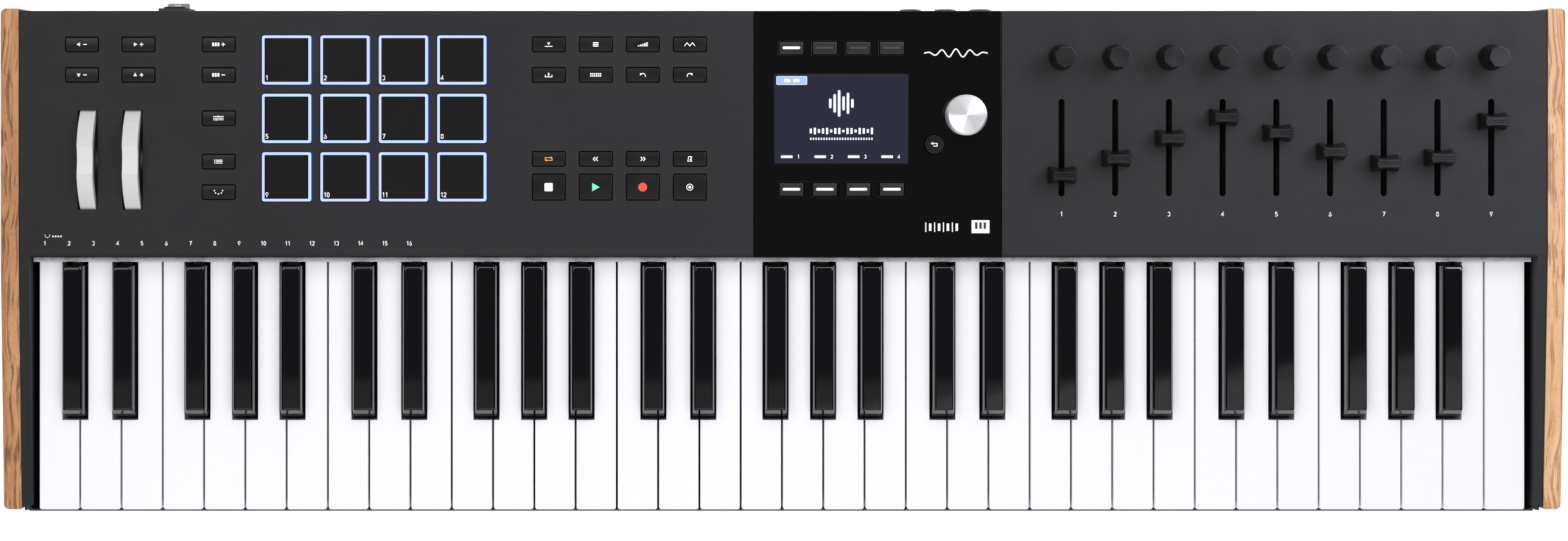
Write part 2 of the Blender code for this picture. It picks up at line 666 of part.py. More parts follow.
def make_wheel(name, middle):
    """A part-wheel: rim, web and hub with its two axle stubs."""
    half = WHEEL_WIDTH / 2
    rim = bmesh.new()
    outline = wheel_rim() + arc_points(WHEEL_RADIUS - 0.005, WHEEL_HALF_ANGLE, -WHEEL_HALF_ANGLE, 20)
    side_prism(rim, outline, middle - half, middle + half)
    wheel = make_object(name, rim, "wheel", origin=(middle, WHEEL_Y, WHEEL_Z), smooth=True)
    web = bmesh.new()
    inner = arc_points(WHEEL_RADIUS - 0.004, WHEEL_HALF_ANGLE - 2, 2 - WHEEL_HALF_ANGLE, 20)
    side_prism(web, inner + [(WHEEL_Y, WHEEL_Z - 0.002)], middle - 0.0015, middle + 0.0015)
    combine(wheel, web, "UNION")
    hub = bmesh.new()
    rod_x(hub, WHEEL_Y, WHEEL_Z, 0.0055, 16, middle - half, middle + half)
    combine(wheel, hub, "UNION")
    axle = bmesh.new()
    rod_x(axle, WHEEL_Y, WHEEL_Z, AXLE_RADIUS, 12, middle - half - 0.0022, middle + half + 0.0022)
    combine(wheel, axle, "UNION")


def make_wheel_box():
    """The open box below the wheels, with the holes for their axles."""
    bottom = FOOT_HEIGHT + FLOOR_THICKNESS + 0.0005
    left, right = WHEEL_MIDDLES[0] - 0.0075, WHEEL_MIDDLES[1] + 0.0075
    front, rear = WHEEL_Y - 0.0384, WHEEL_Y + 0.0384
    bm = bmesh.new()
    box(bm, (left, front + 0.0240, bottom), (right, rear, 0.0480))
    made = make_object("wheel_box", bm, "frame")
    more = bmesh.new()
    box(more, (left, front, bottom), (right, front + 0.0260, 0.0480))
    combine(made, more, "UNION")
    hollow = bmesh.new()
    for middle in WHEEL_MIDDLES:
        slab(hollow, (middle, WHEEL_Y), (0.0112, 0.0738), bottom + 0.0015, 0.1)
    slab(hollow, (sum(WHEEL_MIDDLES) / 2, WHEEL_Y), (0.0104, 0.0738), bottom + 0.0015, 0.1)
    combine(made, hollow, "DIFFERENCE")
    holes = bmesh.new()
    rod_x(holes, WHEEL_Y, WHEEL_Z, AXLE_HOLE_RADIUS, 12, left - 0.001, right + 0.001)
    combine(made, holes, "DIFFERENCE")


# Knobs, faders and encoder


def knob_ring(middle, z, round_radius, flat_radius, blend, turn):
    """A ring between a circle (blend 0) and a seven-sided outline (blend 1)."""
    sides, points = 7, []
    for i in range(2 * sides):
        angle = turn + math.pi * i / sides
        apothem = flat_radius * math.cos(math.pi / sides)
        flat = flat_radius if i % 2 == 0 else apothem
        radius = (1 - blend) * round_radius + blend * flat
        points.append((middle[0] + radius * math.cos(angle), middle[1] + radius * math.sin(angle), z))
    return points


def make_knob(name, x, turn_degrees):
    middle = (x, KNOB_Y)
    turn = math.radians(turn_degrees)
    base = PANEL_TOP + 0.0006
    bm = bmesh.new()
    levels = (
        (0.0405, 0.0026, 0.0),
        (base, 0.0026, 0.0),
        (base, 0.0072, 0.0),
        (base + 0.0022, 0.0071, 0.0),
        (base + 0.0095, 0.0066, 0.6),
        (KNOB_TOP - 0.0006, 0.0062, 1.0),
        (KNOB_TOP, 0.0057, 1.0),
    )
    rings = [knob_ring(middle, z, radius, radius, blend, turn) for z, radius, blend in levels]
    loft(bm, rings)
    make_object(name, bm, "knob", origin=(x, KNOB_Y, PANEL_TOP), smooth=True)


def make_fader(name, x, y):
    """A waisted cap with its flat stem through the slot."""
    base = PANEL_TOP + 0.0010
    bm = bmesh.new()
    levels = (
        (0.0420, 0.0009, 0.0030),
        (base, 0.0009, 0.0030),
        (base, 0.0080, 0.00485),
        (base + 0.0024, 0.0077, 0.0043),
        (base + 0.0080, 0.0071, 0.0029),
        (FADER_TOP - 0.0008, 0.0068, 0.0029),
        (FADER_TOP, 0.0065, 0.0026),
    )
    loft(bm, [rectangle((x - a, y - b), (x + a, y + b), z) for z, a, b in levels])
    make_object(name, bm, "knob", origin=(x, y, PANEL_TOP))


def make_encoder():
    """The large turned knob beside the display."""
    base = PANEL_TOP + 0.0006
    profile = (
        (0.0032, 0.0405),
        (0.0032, base),
        (0.0112, base),
        (0.01145, base + 0.0006),
        (0.01145, 0.0666),
        (0.0103, 0.0676),
    )
    bm = bmesh.new()
    turned(bm, ENCODER_MIDDLE, profile, 32)
    make_object("main_encoder", bm, "silver", origin=(*ENCODER_MIDDLE, PANEL_TOP), smooth=True)


# Boards inside


def make_control_board():
    """The board below the right half, with encoder bodies and grooved fader bodies."""
    board_bottom, board_top = 0.0300, 0.0316
    bm = bmesh.new()
    outline = [(0.0790, 0.0220), (0.4160, 0.0220), (0.4160, 0.1240), (0.1400, 0.1240), (0.1400, 0.1000)]
    outline.append((0.0790, 0.1000))
    plan_prism(bm, outline, board_bottom, board_top)
    board = make_object("control_board", bm, "board")
    solid, grooves = bmesh.new(), bmesh.new()
    for x in CHANNEL_XS:
        slab(solid, (x, KNOB_Y), (0.0120, 0.0130), board_top - 0.0005, 0.0398)
        slab(solid, (x, FADER_SLOT_Y), (0.0080, 0.0640), board_top - 0.0005, 0.0455)
        slab(grooves, (x, FADER_SLOT_Y), (0.0030, 0.0560), 0.0412, 0.0500)
    slab(solid, ENCODER_MIDDLE, (0.0140, 0.0140), board_top - 0.0005, 0.0398)
    slab(solid, BACK_MIDDLE, (0.0060, 0.0060), board_top - 0.0005, 0.0470)
    combine(board, solid, "UNION")
    combine(board, grooves, "DIFFERENCE")


def make_main_board():
    """The main board with the connector shells that reach the rear wall."""
    bottom, top = 0.0120, 0.0136
    bm = bmesh.new()
    box(bm, (-0.3300, 0.0990, bottom), (0.0400, 0.1370, top))
    board = make_object("main_board", bm, "board")
    solid, sockets = bmesh.new(), bmesh.new()
    for x, half_width, half_height, z in MAIN_PORTS:
        low = (x - half_width, 0.1230, top - 0.0005)
        box(solid, low, (x + half_width, REAR_Y + 0.0004, z + half_height))
        notch = (x - half_width - 0.001, 0.1375, top - 0.002)
        box(sockets, notch, (x + half_width + 0.001, REAR_Y + 0.001, z - half_height))
    box(solid, (-0.1700, 0.1050, top - 0.0005), (-0.1540, 0.1210, top + 0.0012))
    box(solid, (-0.1200, 0.1050, top - 0.0005), (-0.1080, 0.1170, top + 0.0010))
    combine(board, solid, "UNION")
    combine(board, sockets, "DIFFERENCE")


def make_jack_board():
    """The board with the three large jack sockets, whose nuts clamp the rear wall."""
    bottom, top = 0.0180, 0.0196
    bm = bmesh.new()
    box(bm, (JACK_XS[0] - 0.011, 0.1000, bottom), (JACK_XS[-1] + 0.011, 0.1370, top))
    board = make_object("jack_board", bm, "board")
    solid, bores = bmesh.new(), bmesh.new()
    for x in JACK_XS:
        box(solid, (x - 0.0075, 0.1060, top - 0.0005), (x + 0.0075, 0.1375, JACK_Z + 0.0075))
    combine(board, solid, "UNION")
    barrels = bmesh.new()
    for x in JACK_XS:
        rod_y(barrels, x, JACK_Z, JACK_BARREL_RADIUS, 16, 0.1365, REAR_Y + 0.0026)
        rod_y(bores, x, JACK_Z, JACK_BORE_RADIUS, 12, 0.1120, REAR_Y + 0.0040)
    combine(board, barrels, "UNION")
    nuts = bmesh.new()
    for x in JACK_XS:
        rod_y(nuts, x, JACK_Z, 0.0070, 6, REAR_Y + GAP, REAR_Y + 0.0020)
    combine(board, nuts, "UNION")
    combine(board, bores, "DIFFERENCE")


def make_display_module():
    """The display behind its window in the gloss panel."""
    bottom = 0.0495
    flange = PANEL_TOP - PANEL_THICKNESS - 0.0004
    bm = bmesh.new()
    slab(bm, DISPLAY_MIDDLE, (0.0806, 0.0565), bottom, flange)
    module = make_object("display_module", bm, "display")
    face = bmesh.new()
    slab(face, DISPLAY_MIDDLE, DISPLAY_SIZE, bottom + 0.001, PANEL_TOP - 0.0002, shrink=SLOT_GAP)
    combine(module, face, "UNION")


def make_power_switch():
    """The rocker: two faces that meet in a shallow V, leaning with its lower end out."""
    middle = (SWITCH_PIVOT_Y, SWITCH_Z)
    half = SWITCH_HALF_HEIGHT - 0.0002
    outline = [(0.0016, 0.0), (0.0030, half), (-0.0010, half), (-0.0045, 0.0035), (-0.0045, -0.0035)]
    outline += [(-0.0010, -half), (0.0030, -half)]
    lean = math.radians(SWITCH_LEAN)
    points = []
    for y, z in outline:
        leaned_y = y * math.cos(lean) - z * math.sin(lean)
        leaned_z = y * math.sin(lean) + z * math.cos(lean)
        points.append((middle[0] + leaned_y, middle[1] + leaned_z))
    bm = bmesh.new()
    side_prism(bm, points, SWITCH_X - SWITCH_HALF_WIDTH, SWITCH_X + SWITCH_HALF_WIDTH)
    make_object("power_switch", bm, "button", origin=(SWITCH_X, *middle))


def main():
    for old in list(bpy.data.objects):
        bpy.data.objects.remove(old)
    make_bottom_case()
    make_top_panel()
    make_centre_panel()
    make_cheek("left_cheek", -CHEEK_INNER, -CHEEK_OUTER)
    make_cheek("right_cheek", CHEEK_INNER, CHEEK_OUTER)
    make_key_frame()
    make_contact_board()
    make_felt()
    for octave in range(OCTAVES):
        for group in RAIL_BOTTOMS:
            make_comb(octave, group)
    make_left_buttons()
    make_centre_buttons()
    make_screen_buttons()
    make_back_button()
    make_pads()
    for name, middle in zip(("pitch_wheel", "modulation_wheel"), WHEEL_MIDDLES):
        make_wheel(name, middle)
    make_wheel_box()
    make_encoder()
    for i, x in enumerate(CHANNEL_XS):
        make_knob(f"knob_{i + 1}", x, KNOB_TURNS[i])
        make_fader(f"fader_{i + 1}", x, FADER_YS[i])
    make_display_module()
    make_control_board()
    make_main_board()
    make_jack_board()
    make_power_switch()
    feet = (("front_left", -0.38, -0.115), ("front_right", 0.38, -0.115))
    feet += (("rear_left", -0.38, 0.115), ("rear_right", 0.38, 0.115))
    for place, x, y in feet:
        make_foot(f"foot_{place}", x, y)


main()
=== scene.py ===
"""The looks of a sixty-one-key controller keyboard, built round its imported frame.

Metres, in the frame's own axes: +X along the keys, +Y towards the rear, +Z up. Printed signs are drawn in
millimetres about their own middle.
"""

import math

import bmesh
import bpy
from mathutils import Matrix, Vector
from mathutils.geometry import tessellate_polygon


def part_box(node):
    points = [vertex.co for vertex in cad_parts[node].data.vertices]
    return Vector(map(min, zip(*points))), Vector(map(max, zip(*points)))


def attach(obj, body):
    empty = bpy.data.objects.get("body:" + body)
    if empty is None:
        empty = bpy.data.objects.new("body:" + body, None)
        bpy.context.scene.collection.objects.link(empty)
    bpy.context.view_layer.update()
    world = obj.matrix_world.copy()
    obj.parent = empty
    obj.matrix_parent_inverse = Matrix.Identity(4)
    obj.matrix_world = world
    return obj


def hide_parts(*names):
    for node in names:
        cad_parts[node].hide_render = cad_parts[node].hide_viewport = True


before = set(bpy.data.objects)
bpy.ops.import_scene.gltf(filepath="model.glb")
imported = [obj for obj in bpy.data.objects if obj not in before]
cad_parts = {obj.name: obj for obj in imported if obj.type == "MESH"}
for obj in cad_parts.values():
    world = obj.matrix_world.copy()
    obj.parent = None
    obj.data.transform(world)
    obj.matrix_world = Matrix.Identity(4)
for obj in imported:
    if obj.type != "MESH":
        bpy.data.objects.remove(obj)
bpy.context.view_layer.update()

# Keys
KEY_PITCH = 0.0235
KEY_GAP = 0.001
OCTAVES = 5
KEYS_LEFT = -18 * KEY_PITCH
OCTAVE_WIDTH = 7 * KEY_PITCH
WHITE_TOP = 0.041
WHITE_BOTTOM = 0.026
WHITE_FRONT = -0.1430
WHITE_REAR = -0.0010
WHITE_CORNER = 0.0014
WHITE_EDGE = 0.0004
NOTCH_FRONT = -0.0920
NOTCH_WIDTH = 0.0146
BLACK_TOP = 0.0515
BLACK_BOTTOM = 0.0300
BLACK_FRONT = -0.0900
BLACK_REAR = -0.0035
BLACK_BASE_HALF = 0.0063
BLACK_CORNER = 0.0011
BLACK_SHOULDER = 0.0019
BLACK_SLOPE = 0.0056
BLACK_END = 0.0004
BLACK_END_RADIUS = 0.0050
BLACK_END_ANGLE = 35
SHARPS = ((1, -0.0027), (2, 0.0022), (4, -0.0037), (5, -0.0001), (6, 0.0034))
PIVOT_Y = 0.0110
RAIL_HALF_DEPTH = 0.0045
RAIL_HEIGHT = 0.0030
RAIL_BOTTOMS = {"c_e_g_b": 0.0220, "d_f_a": 0.0262, "sharps": 0.0304}
RAIL_END_GAP = 0.00165
TAIL_HALF = 0.0035
PIN_RADIUS = 0.0012
PIN_LENGTH = 0.0009
FELT_STEPS = 850
FRAY_REACH = 0.00022
# Depth of the band of painted light along the felt's front edge
PAINTED_LIGHT_DEPTH = 0.0024

# Case and panels
GAP = 0.0003
SLOT_GAP = 0.00035
CASE_HALF = 0.4312
REAR_Y = 0.1400
PANEL_TOP = 0.0550
PANEL_THICKNESS = 0.0015
PANEL_FRONT = 0.0008
PANEL_EDGE = 0.00035
BEND_RADIUS = 0.0020
FOLD_BOTTOM = 0.0455
FOLD_OVERLAP = 0.002
ARM_WIDTH = 0.0054
ARM_BOTTOM = 0.0405
ARM_FRONT_TOP = 0.0460
ARM_FRONT = -0.1400
ARM_REAR = 0.0048
CHEEK_OUTER = 0.4422
CHEEK_INNER = 0.4315
CHEEK_FRONT = -0.1422
CHEEK_REAR = 0.1414
CHEEK_BOTTOM = 0.0050
CHEEK_TOP = 0.0560
CHEEK_FRONT_TOP = 0.0470
CHEEK_CORNER = 0.0035
SCREW_XS = (-0.41, -0.25, -0.08, 0.08, 0.25, 0.41)
SCREW_YS = (-0.095, 0.060)
SCREW_RADIUS = 0.0030
SCREW_TOP = 0.0040
FOOT_X = 0.38
FOOT_Y = 0.115
CENTRE_LEFT = -0.0165
CENTRE_RIGHT = 0.1231
DISPLAY_MIDDLE = (0.03285, 0.07915)
DISPLAY_SIZE = (0.0758, 0.0505)
DISPLAY_BODY = (0.0806, 0.0565)

# Buttons and pads
BUTTON_SIZE = (0.0190, 0.0087)
TALL_BUTTON_SIZE = (0.0190, 0.0150)
SCREEN_BUTTON_SIZE = (0.0144, 0.0082)
UPPER_ROWS = (0.1211, 0.1039)
LEFT_COLUMNS = (-0.39595, -0.36405)
SIDE_COLUMN = -0.31875
SIDE_ROWS = (0.1211, 0.1039, 0.0795, 0.0550, 0.03775)
CENTRE_COLUMNS = tuple(-0.1324 + 0.02655 * i for i in range(4))
TRANSPORT_ROW = 0.0565
TALL_ROW = 0.0406
SCREEN_COLUMNS = tuple(0.0046 + 0.0189 * i for i in range(4))
SCREEN_ROWS = (0.1191, 0.0393)
BUTTON_TOP = PANEL_TOP + 0.0006
SCREEN_BUTTON_TOP = PANEL_TOP + 0.0004
CARRIER = (0.0490, 0.0505)
PAD_HOLE = 0.0286
PAD_HOLE_CORNER = 0.0014
PAD_BORDER = 0.0015
PAD_COLUMNS = tuple(-0.2803 + 0.03296 * i for i in range(4))
PAD_ROWS = tuple(0.1123 - 0.03295 * i for i in range(3))
PAD_TOP = PANEL_TOP + 0.0013
PAD_SHEET = (0.0475, 0.0495)
BACK_MIDDLE = (0.0853, 0.0647)
BACK_RADIUS = 0.0055
BACK_HOLE_RADIUS = 0.0058
HOLE_CORNER = 0.0009
CAP_CROWN = 0.00045
PRINT = 0.00004

# Wheels
WHEEL_MIDDLES = {"pitch_wheel": -0.3928, "modulation_wheel": -0.3674}
WHEEL_SLOT = (0.0112, 0.0560)
WHEEL_SLOT_CORNER = 0.0004
WHEEL_Y = 0.0559
WHEEL_Z = 0.0300
WHEEL_RADIUS = 0.0360
WHEEL_HALF_WIDTH = 0.0045
WHEEL_HALF_ANGLE = 86
WHEEL_NOTCH_HALF_ANGLE = 13.5
WHEEL_NOTCH_DEPTH = 0.0024
RIB_PITCH = 1.0
RIB_DEPTH = 0.00013

# Knobs, faders and encoder
CHANNEL_XS = tuple(0.1571 + 0.03033 * i for i in range(9))
KNOB_Y = 0.1138
KNOB_TOP = 0.0730
KNOB_HOLE_RADIUS = 0.0035
KNOB_TURNS = (10, 33, 2, 20, 41, 14, 28, 6, 37)
FADER_SLOT = (0.0032, 0.0547)
FADER_SLOT_Y = 0.06285
FADER_TOP = 0.0690
FADER_YS = (0.0474, 0.0568, 0.0682, 0.0800, 0.0712, 0.0607, 0.0542, 0.0573, 0.0778)
ENCODER_MIDDLE = (0.1025, 0.0813)
ENCODER_RADIUS = 0.01145
ENCODER_TOP = 0.0676
ENCODER_HOLE_RADIUS = 0.0040

# Rear
SWITCH_X = -0.3461
SWITCH_Z = 0.0290
SWITCH_PIVOT_Y = 0.1412
SWITCH_HALF = (0.0061, 0.0088)
SWITCH_LEAN = 8
JACK_XS = (0.074, 0.094, 0.114)
JACK_Z = 0.0290
JACK_BORE_RADIUS = 0.0033
COLLAR_RADIUS = 0.0046
NUT_RADIUS = 0.0060
MAIN_BOARD = (0.0120, 0.0136)
PORT_DEPTH = 0.0174
RIM_DEPTH = 0.0008
DC_PORT = (-0.3150, 0.0215)
USB_PORT = (-0.2930, 0.0175)
DIN_PORTS = ((-0.2600, 0.0255), (-0.2350, 0.0255))

# Camera and light

CAMERA_PLACE = (-0.0816, 0.0790, 1.791)
LENS = 70.6
SHIFT = (0.0927, -0.0965)


def make_camera():
    """The camera looks straight down, with its axis at the left of the middle."""
    data = bpy.data.cameras.new("camera")
    data.lens = LENS
    data.sensor_width = 36.0
    data.shift_x, data.shift_y = SHIFT
    data.clip_end = 20.0
    made = bpy.data.objects.new("camera", data)
    made.location = CAMERA_PLACE
    bpy.context.scene.collection.objects.link(made)
    bpy.context.scene.camera = made


def make_light(name, place, size, power, colour=(1.0, 1.0, 1.0)):
    """A soft box that faces the middle of the keyboard."""
    data = bpy.data.lights.new(name, "AREA")
    data.shape = "RECTANGLE"
    data.size, data.size_y = size
    data.energy = power
    data.color = colour
    made = bpy.data.objects.new(name, data)
    made.location = place
    towards = Vector((0, 0, 0.04)) - Vector(place)
    made.rotation_euler = towards.to_track_quat("-Z", "Y").to_euler()
    bpy.context.scene.collection.objects.link(made)
    return made


def make_lighting():
    """The key light gives only sheen and the overhead light none; a level card shows in the black keys."""
    key = make_light("key_light", (1.28, 0.74, 1.38), (1.3, 1.0), 44, (0.86, 0.88, 1.0))
    key.visible_diffuse = False
    make_light("rear_light", (0.25, 1.35, 1.55), (1.8, 0.7), 11)
    make_light("fill_light", (-0.95, 0.70, 1.70), (1.1, 1.0), 9.5)
    make_light("front_light", (0.1, -1.55, 1.25), (2.2, 0.9), 8)
    make_light("ceiling_card", (0.1, -1.05, 1.9), (2.8, 1.7), 9, (0.98, 0.98, 1.0))
    overhead = make_light("overhead_light", (0.10, -0.10, 2.1), (2.6, 1.6), 23, (0.98, 0.98, 1.0))
    overhead.visible_glossy = False
    card = make_light("key_card", (0.10, -0.735, 2.0), (2.4, 1.0), 2.4)
    card.rotation_euler = (0, 0, 0)
    world = bpy.data.worlds.new("studio")
    bpy.context.scene.world = world
    world.use_nodes = True
    background = world.node_tree.nodes["Background"]
    background.inputs["Color"].default_value = (0.95, 0.97, 1.0, 1)
    background.inputs["Strength"].default_value = 0.15
    bpy.context.scene.view_settings.view_transform = "Standard"


# Materials


def put(tree, socket, value):
    """Sets a socket to a value, or links another node's output to it."""
    if isinstance(value, bpy.types.NodeSocket):
        tree.links.new(value, socket)
    else:
        socket.default_value = value


def add(tree, kind, **inputs):
    """A shader node, with its inputs by name."""
    made = tree.nodes.new("ShaderNode" + kind)
    for name, value in inputs.items():
        put(tree, made.inputs[name.replace("_", " ")], value)
    return made


def noise(tree, scale, stretch=(1, 1, 1), detail=2.0, distortion=0.0):
    """Noise over the piece's own coordinates, with scale in waves per metre."""
    place = add(tree, "TexCoord").outputs["Object"]
    mapped = add(tree, "Mapping", Vector=place, Scale=stretch).outputs[0]
    made = add(tree, "TexNoise", Vector=mapped, Scale=scale, Detail=detail, Distortion=distortion)
    return made.outputs["Fac"]


def remap(tree, value, low, high, to_low=0.0, to_high=1.0):
    """The value carried from one span to another, and held inside it."""
    made = add(tree, "MapRange", Value=value)
    for name, number in (("From Min", low), ("From Max", high), ("To Min", to_low), ("To Max", to_high)):
        made.inputs[name].default_value = number
    return made.outputs["Result"]


def mixed(tree, factor, first, second):
    """Two colours mixed by a factor."""
    made = tree.nodes.new("ShaderNodeMix")
    made.data_type = "RGBA"
    for index, value in ((0, factor), (6, first), (7, second)):
        put(tree, made.inputs[index], value)
    return made.outputs[2]


def scaled(colour, factor):
    return (*(min(1.0, c * factor) for c in colour), 1)


def plain(name, colour, roughness, slot=None, specular=0.5, **sockets):
    """A Principled material with constant values, its node tree and its shader."""
    made = bpy.data.materials.new(name)
    made.use_nodes = True
    if slot:
        made["slot"] = slot
    shader = made.node_tree.nodes["Principled BSDF"]
    shader.inputs["Base Color"].default_value = (*colour, 1)
    shader.inputs["Roughness"].default_value = roughness
    shader.inputs["Specular IOR Level"].default_value = specular
    for socket, value in sockets.items():
        shader.inputs[socket.replace("_", " ")].default_value = value
    return made, made.node_tree, shader


def bumped(tree, shader, height, depth):
    """Fine relief of the given depth in metres."""
    relief = add(tree, "Bump", Height=height, Distance=depth)
    put(tree, shader.inputs["Normal"], relief.outputs[0])


def surface(name, colour, roughness, slot=None, tint=0.10, grain=1600, depth=1e-5, spread=0.06, **sockets):
    """A moulded or painted finish: a fine grain, cloudy colour and uneven sheen."""
    made, tree, shader = plain(name, colour, roughness, slot, **sockets)
    cloud = noise(tree, 11, detail=3)
    fine = noise(tree, grain, detail=2)
    clouded = mixed(tree, remap(tree, cloud, 0.3, 0.7), scaled(colour, 1 - tint), scaled(colour, 1 + tint))
    speck = mixed(tree, remap(tree, fine, 0.25, 0.75, 0.0, 0.5), clouded, scaled(colour, 1 + 2 * tint))
    put(tree, shader.inputs["Base Color"], speck)
    worn = noise(tree, 70, detail=4)
    put(tree, shader.inputs["Roughness"], remap(tree, worn, 0.3, 0.7, roughness - spread, roughness + spread))
    bumped(tree, shader, fine, depth)
    return made


def gloss(name, colour, roughness, slot=None, **sockets):
    """Polished plastic with faint smears and a little dust."""
    made, tree, shader = plain(name, colour, roughness, slot, **sockets)
    smear = noise(tree, 24, stretch=(1, 0.6, 1), detail=5, distortion=0.6)
    put(tree, shader.inputs["Roughness"], remap(tree, smear, 0.35, 0.75, roughness, roughness * 1.8))
    dust = remap(tree, noise(tree, 900, detail=1), 0.77, 0.82, 0.0, 0.3)
    put(tree, shader.inputs["Base Color"], mixed(tree, dust, (*colour, 1), (0.03, 0.03, 0.03, 1)))
    bumped(tree, shader, noise(tree, 40, detail=1), 1.5e-5)
    return made


def ivory(name, colour, roughness, slot):
    """Key plastic: nearly even colour, with soft waves in its polish."""
    made, tree, shader = plain(name, colour, roughness, slot, Coat_Weight=0.25, Coat_Roughness=0.14)
    cloud = remap(tree, noise(tree, 5, stretch=(1, 0.4, 1), detail=0), 0.1, 0.9)
    clouded = mixed(tree, cloud, scaled(colour, 0.996), scaled(colour, 1.004))
    fine = remap(tree, noise(tree, 1900, detail=1), 0.2, 0.8, 0.0, 0.2)
    put(tree, shader.inputs["Base Color"], mixed(tree, fine, clouded, scaled(colour, 0.96)))
    touch = noise(tree, 1200, detail=1)
    put(tree, shader.inputs["Roughness"], remap(tree, touch, 0.1, 0.9, roughness, roughness + 0.06))
    bumped(tree, shader, touch, 1.5e-7)
    return made


def strands(tree, scale, length, wander, detail=3.0):
    """Noise drawn out along the depth into strands that wander from side to side, by so many metres."""
    place = add(tree, "TexCoord").outputs["Object"]
    drift = add(tree, "TexNoise", Vector=place, Scale=13, Detail=2).outputs["Color"]
    aside = tree.nodes.new("ShaderNodeVectorMath")
    aside.operation = "MULTIPLY_ADD"
    put(tree, aside.inputs[0], drift)
    put(tree, aside.inputs[1], (wander, 0, wander))
    put(tree, aside.inputs[2], place)
    drawn = add(tree, "Mapping", Vector=aside.outputs[0], Scale=(1, length, 0.8)).outputs[0]
    return add(tree, "TexNoise", Vector=drawn, Scale=scale, Detail=detail).outputs["Fac"]


def wood(name, light, middle, dark, slot):
    """Straight-grained wood: wandering growth lines, fine fibres, short pores and a few darker knots."""
    made, tree, shader = plain(name, middle, 0.5, slot, specular=0.35)
    band = strands(tree, 150, 0.03, 0.03)
    line = strands(tree, 520, 0.014, 0.02, 4)
    fibre = strands(tree, 2200, 0.02, 0.01)
    pore = noise(tree, 2600, stretch=(1, 0.09, 1), detail=1)
    knot = noise(tree, 34, stretch=(1, 0.5, 1), detail=5, distortion=1.2)
    ground = mixed(tree, remap(tree, band, 0.38, 0.62), (*middle, 1), (*light, 1))
    lined = mixed(tree, remap(tree, line, 0.50, 0.40, 0.0, 0.85), ground, (*dark, 1))
    knotted = mixed(tree, remap(tree, knot, 0.54, 0.72, 0.0, 0.45), lined, (*dark, 1))
    porous = mixed(tree, remap(tree, pore, 0.36, 0.30, 0.0, 0.7), knotted, (*dark, 1))
    fibred = mixed(tree, remap(tree, fibre, 0.35, 0.7, 0.0, 0.3), porous, (*light, 1))
    put(tree, shader.inputs["Base Color"], fibred)
    put(tree, shader.inputs["Roughness"], remap(tree, fibre, 0.3, 0.7, 0.42, 0.62))
    bumped(tree, shader, fibre, 4e-5)
    return made


def fuzzy(name, pale, deep, slot, front):
    """Felt: matted fibres of several greys, with painted light making it paler at the front and painted shade
    of the panel's overhang left at the rear.
    """
    made, tree, shader = plain(name, pale, 0.95, slot, Sheen_Weight=0.3, Sheen_Roughness=0.5)
    matted = noise(tree, 1300, stretch=(0.6, 1, 1), detail=5, distortion=1.5)
    tuft = noise(tree, 260, detail=3)
    ground = mixed(tree, remap(tree, tuft, 0.35, 0.65), (*deep, 1), (*pale, 1))
    tangled = mixed(tree, remap(tree, matted, 0.40, 0.62, 0.0, 0.8), ground, scaled(pale, 1.5))
    # Painted light: paler towards the front edge over a band, so the rear reads as painted shade under the
    # panel.
    place = add(tree, "SeparateXYZ", Vector=add(tree, "TexCoord").outputs["Object"]).outputs["Y"]
    painted_light_front = mixed(tree, remap(tree, place, front, front + PAINTED_LIGHT_DEPTH, 0.8, 0.0), tangled, scaled(pale, 2.2))
    put(tree, shader.inputs["Base Color"], painted_light_front)
    bumped(tree, shader, matted, 2.5e-4)
    return made


def board_finish(name, mask, slot):
    """Solder mask with the copper's tracks showing through."""
    made, tree, shader = plain(name, mask, 0.4, slot)
    place = add(tree, "TexCoord").outputs["Object"]
    cells = add(tree, "TexVoronoi", Vector=place, Scale=260)
    cells.distance = "CHEBYCHEV"
    tracks = remap(tree, cells.outputs["Distance"], 0.42, 0.46)
    put(tree, shader.inputs["Base Color"], mixed(tree, tracks, scaled(mask, 0.8), scaled(mask, 1.6)))
    put(tree, shader.inputs["Roughness"], remap(tree, noise(tree, 80), 0.3, 0.7, 0.3, 0.5))
    bumped(tree, shader, tracks, 3e-5)
    return made


def metal(name, colour, roughness, slot, anisotropic=0.0):
    """Bare metal with fine marks in its polish."""
    made, tree, shader = plain(name, colour, roughness, slot, Metallic=1.0, Anisotropic=anisotropic)
    if anisotropic:
        around = tree.nodes.new("ShaderNodeTangent")
        around.direction_type = "RADIAL"
        around.axis = "Z"
        shader.inputs["Anisotropic Rotation"].default_value = 0.25
        put(tree, shader.inputs["Tangent"], around.outputs[0])
    marks = noise(tree, 400, detail=2)
    shade = remap(tree, noise(tree, 120, detail=3), 0.3, 0.7)
    put(tree, shader.inputs["Base Color"], mixed(tree, shade, scaled(colour, 0.97), scaled(colour, 1.02)))
    put(tree, shader.inputs["Roughness"], remap(tree, marks, 0.3, 0.7, roughness - 0.005, roughness + 0.005))
    bumped(tree, shader, marks, 1e-7)
    return made


def lit(name, colour, strength, glass=0.25):
    """A window with a lamp behind it; its plastic shows a fine frosting."""
    made, tree, shader = plain(name, scaled(colour, 0.3)[:3], glass)
    shader.inputs["Emission Color"].default_value = (*colour, 1)
    shader.inputs["Emission Strength"].default_value = strength
    frost = noise(tree, 2500, detail=2)
    put(tree, shader.inputs["Roughness"], remap(tree, frost, 0.3, 0.7, glass, glass + 0.15))
    bumped(tree, shader, frost, 4e-6)
    return made


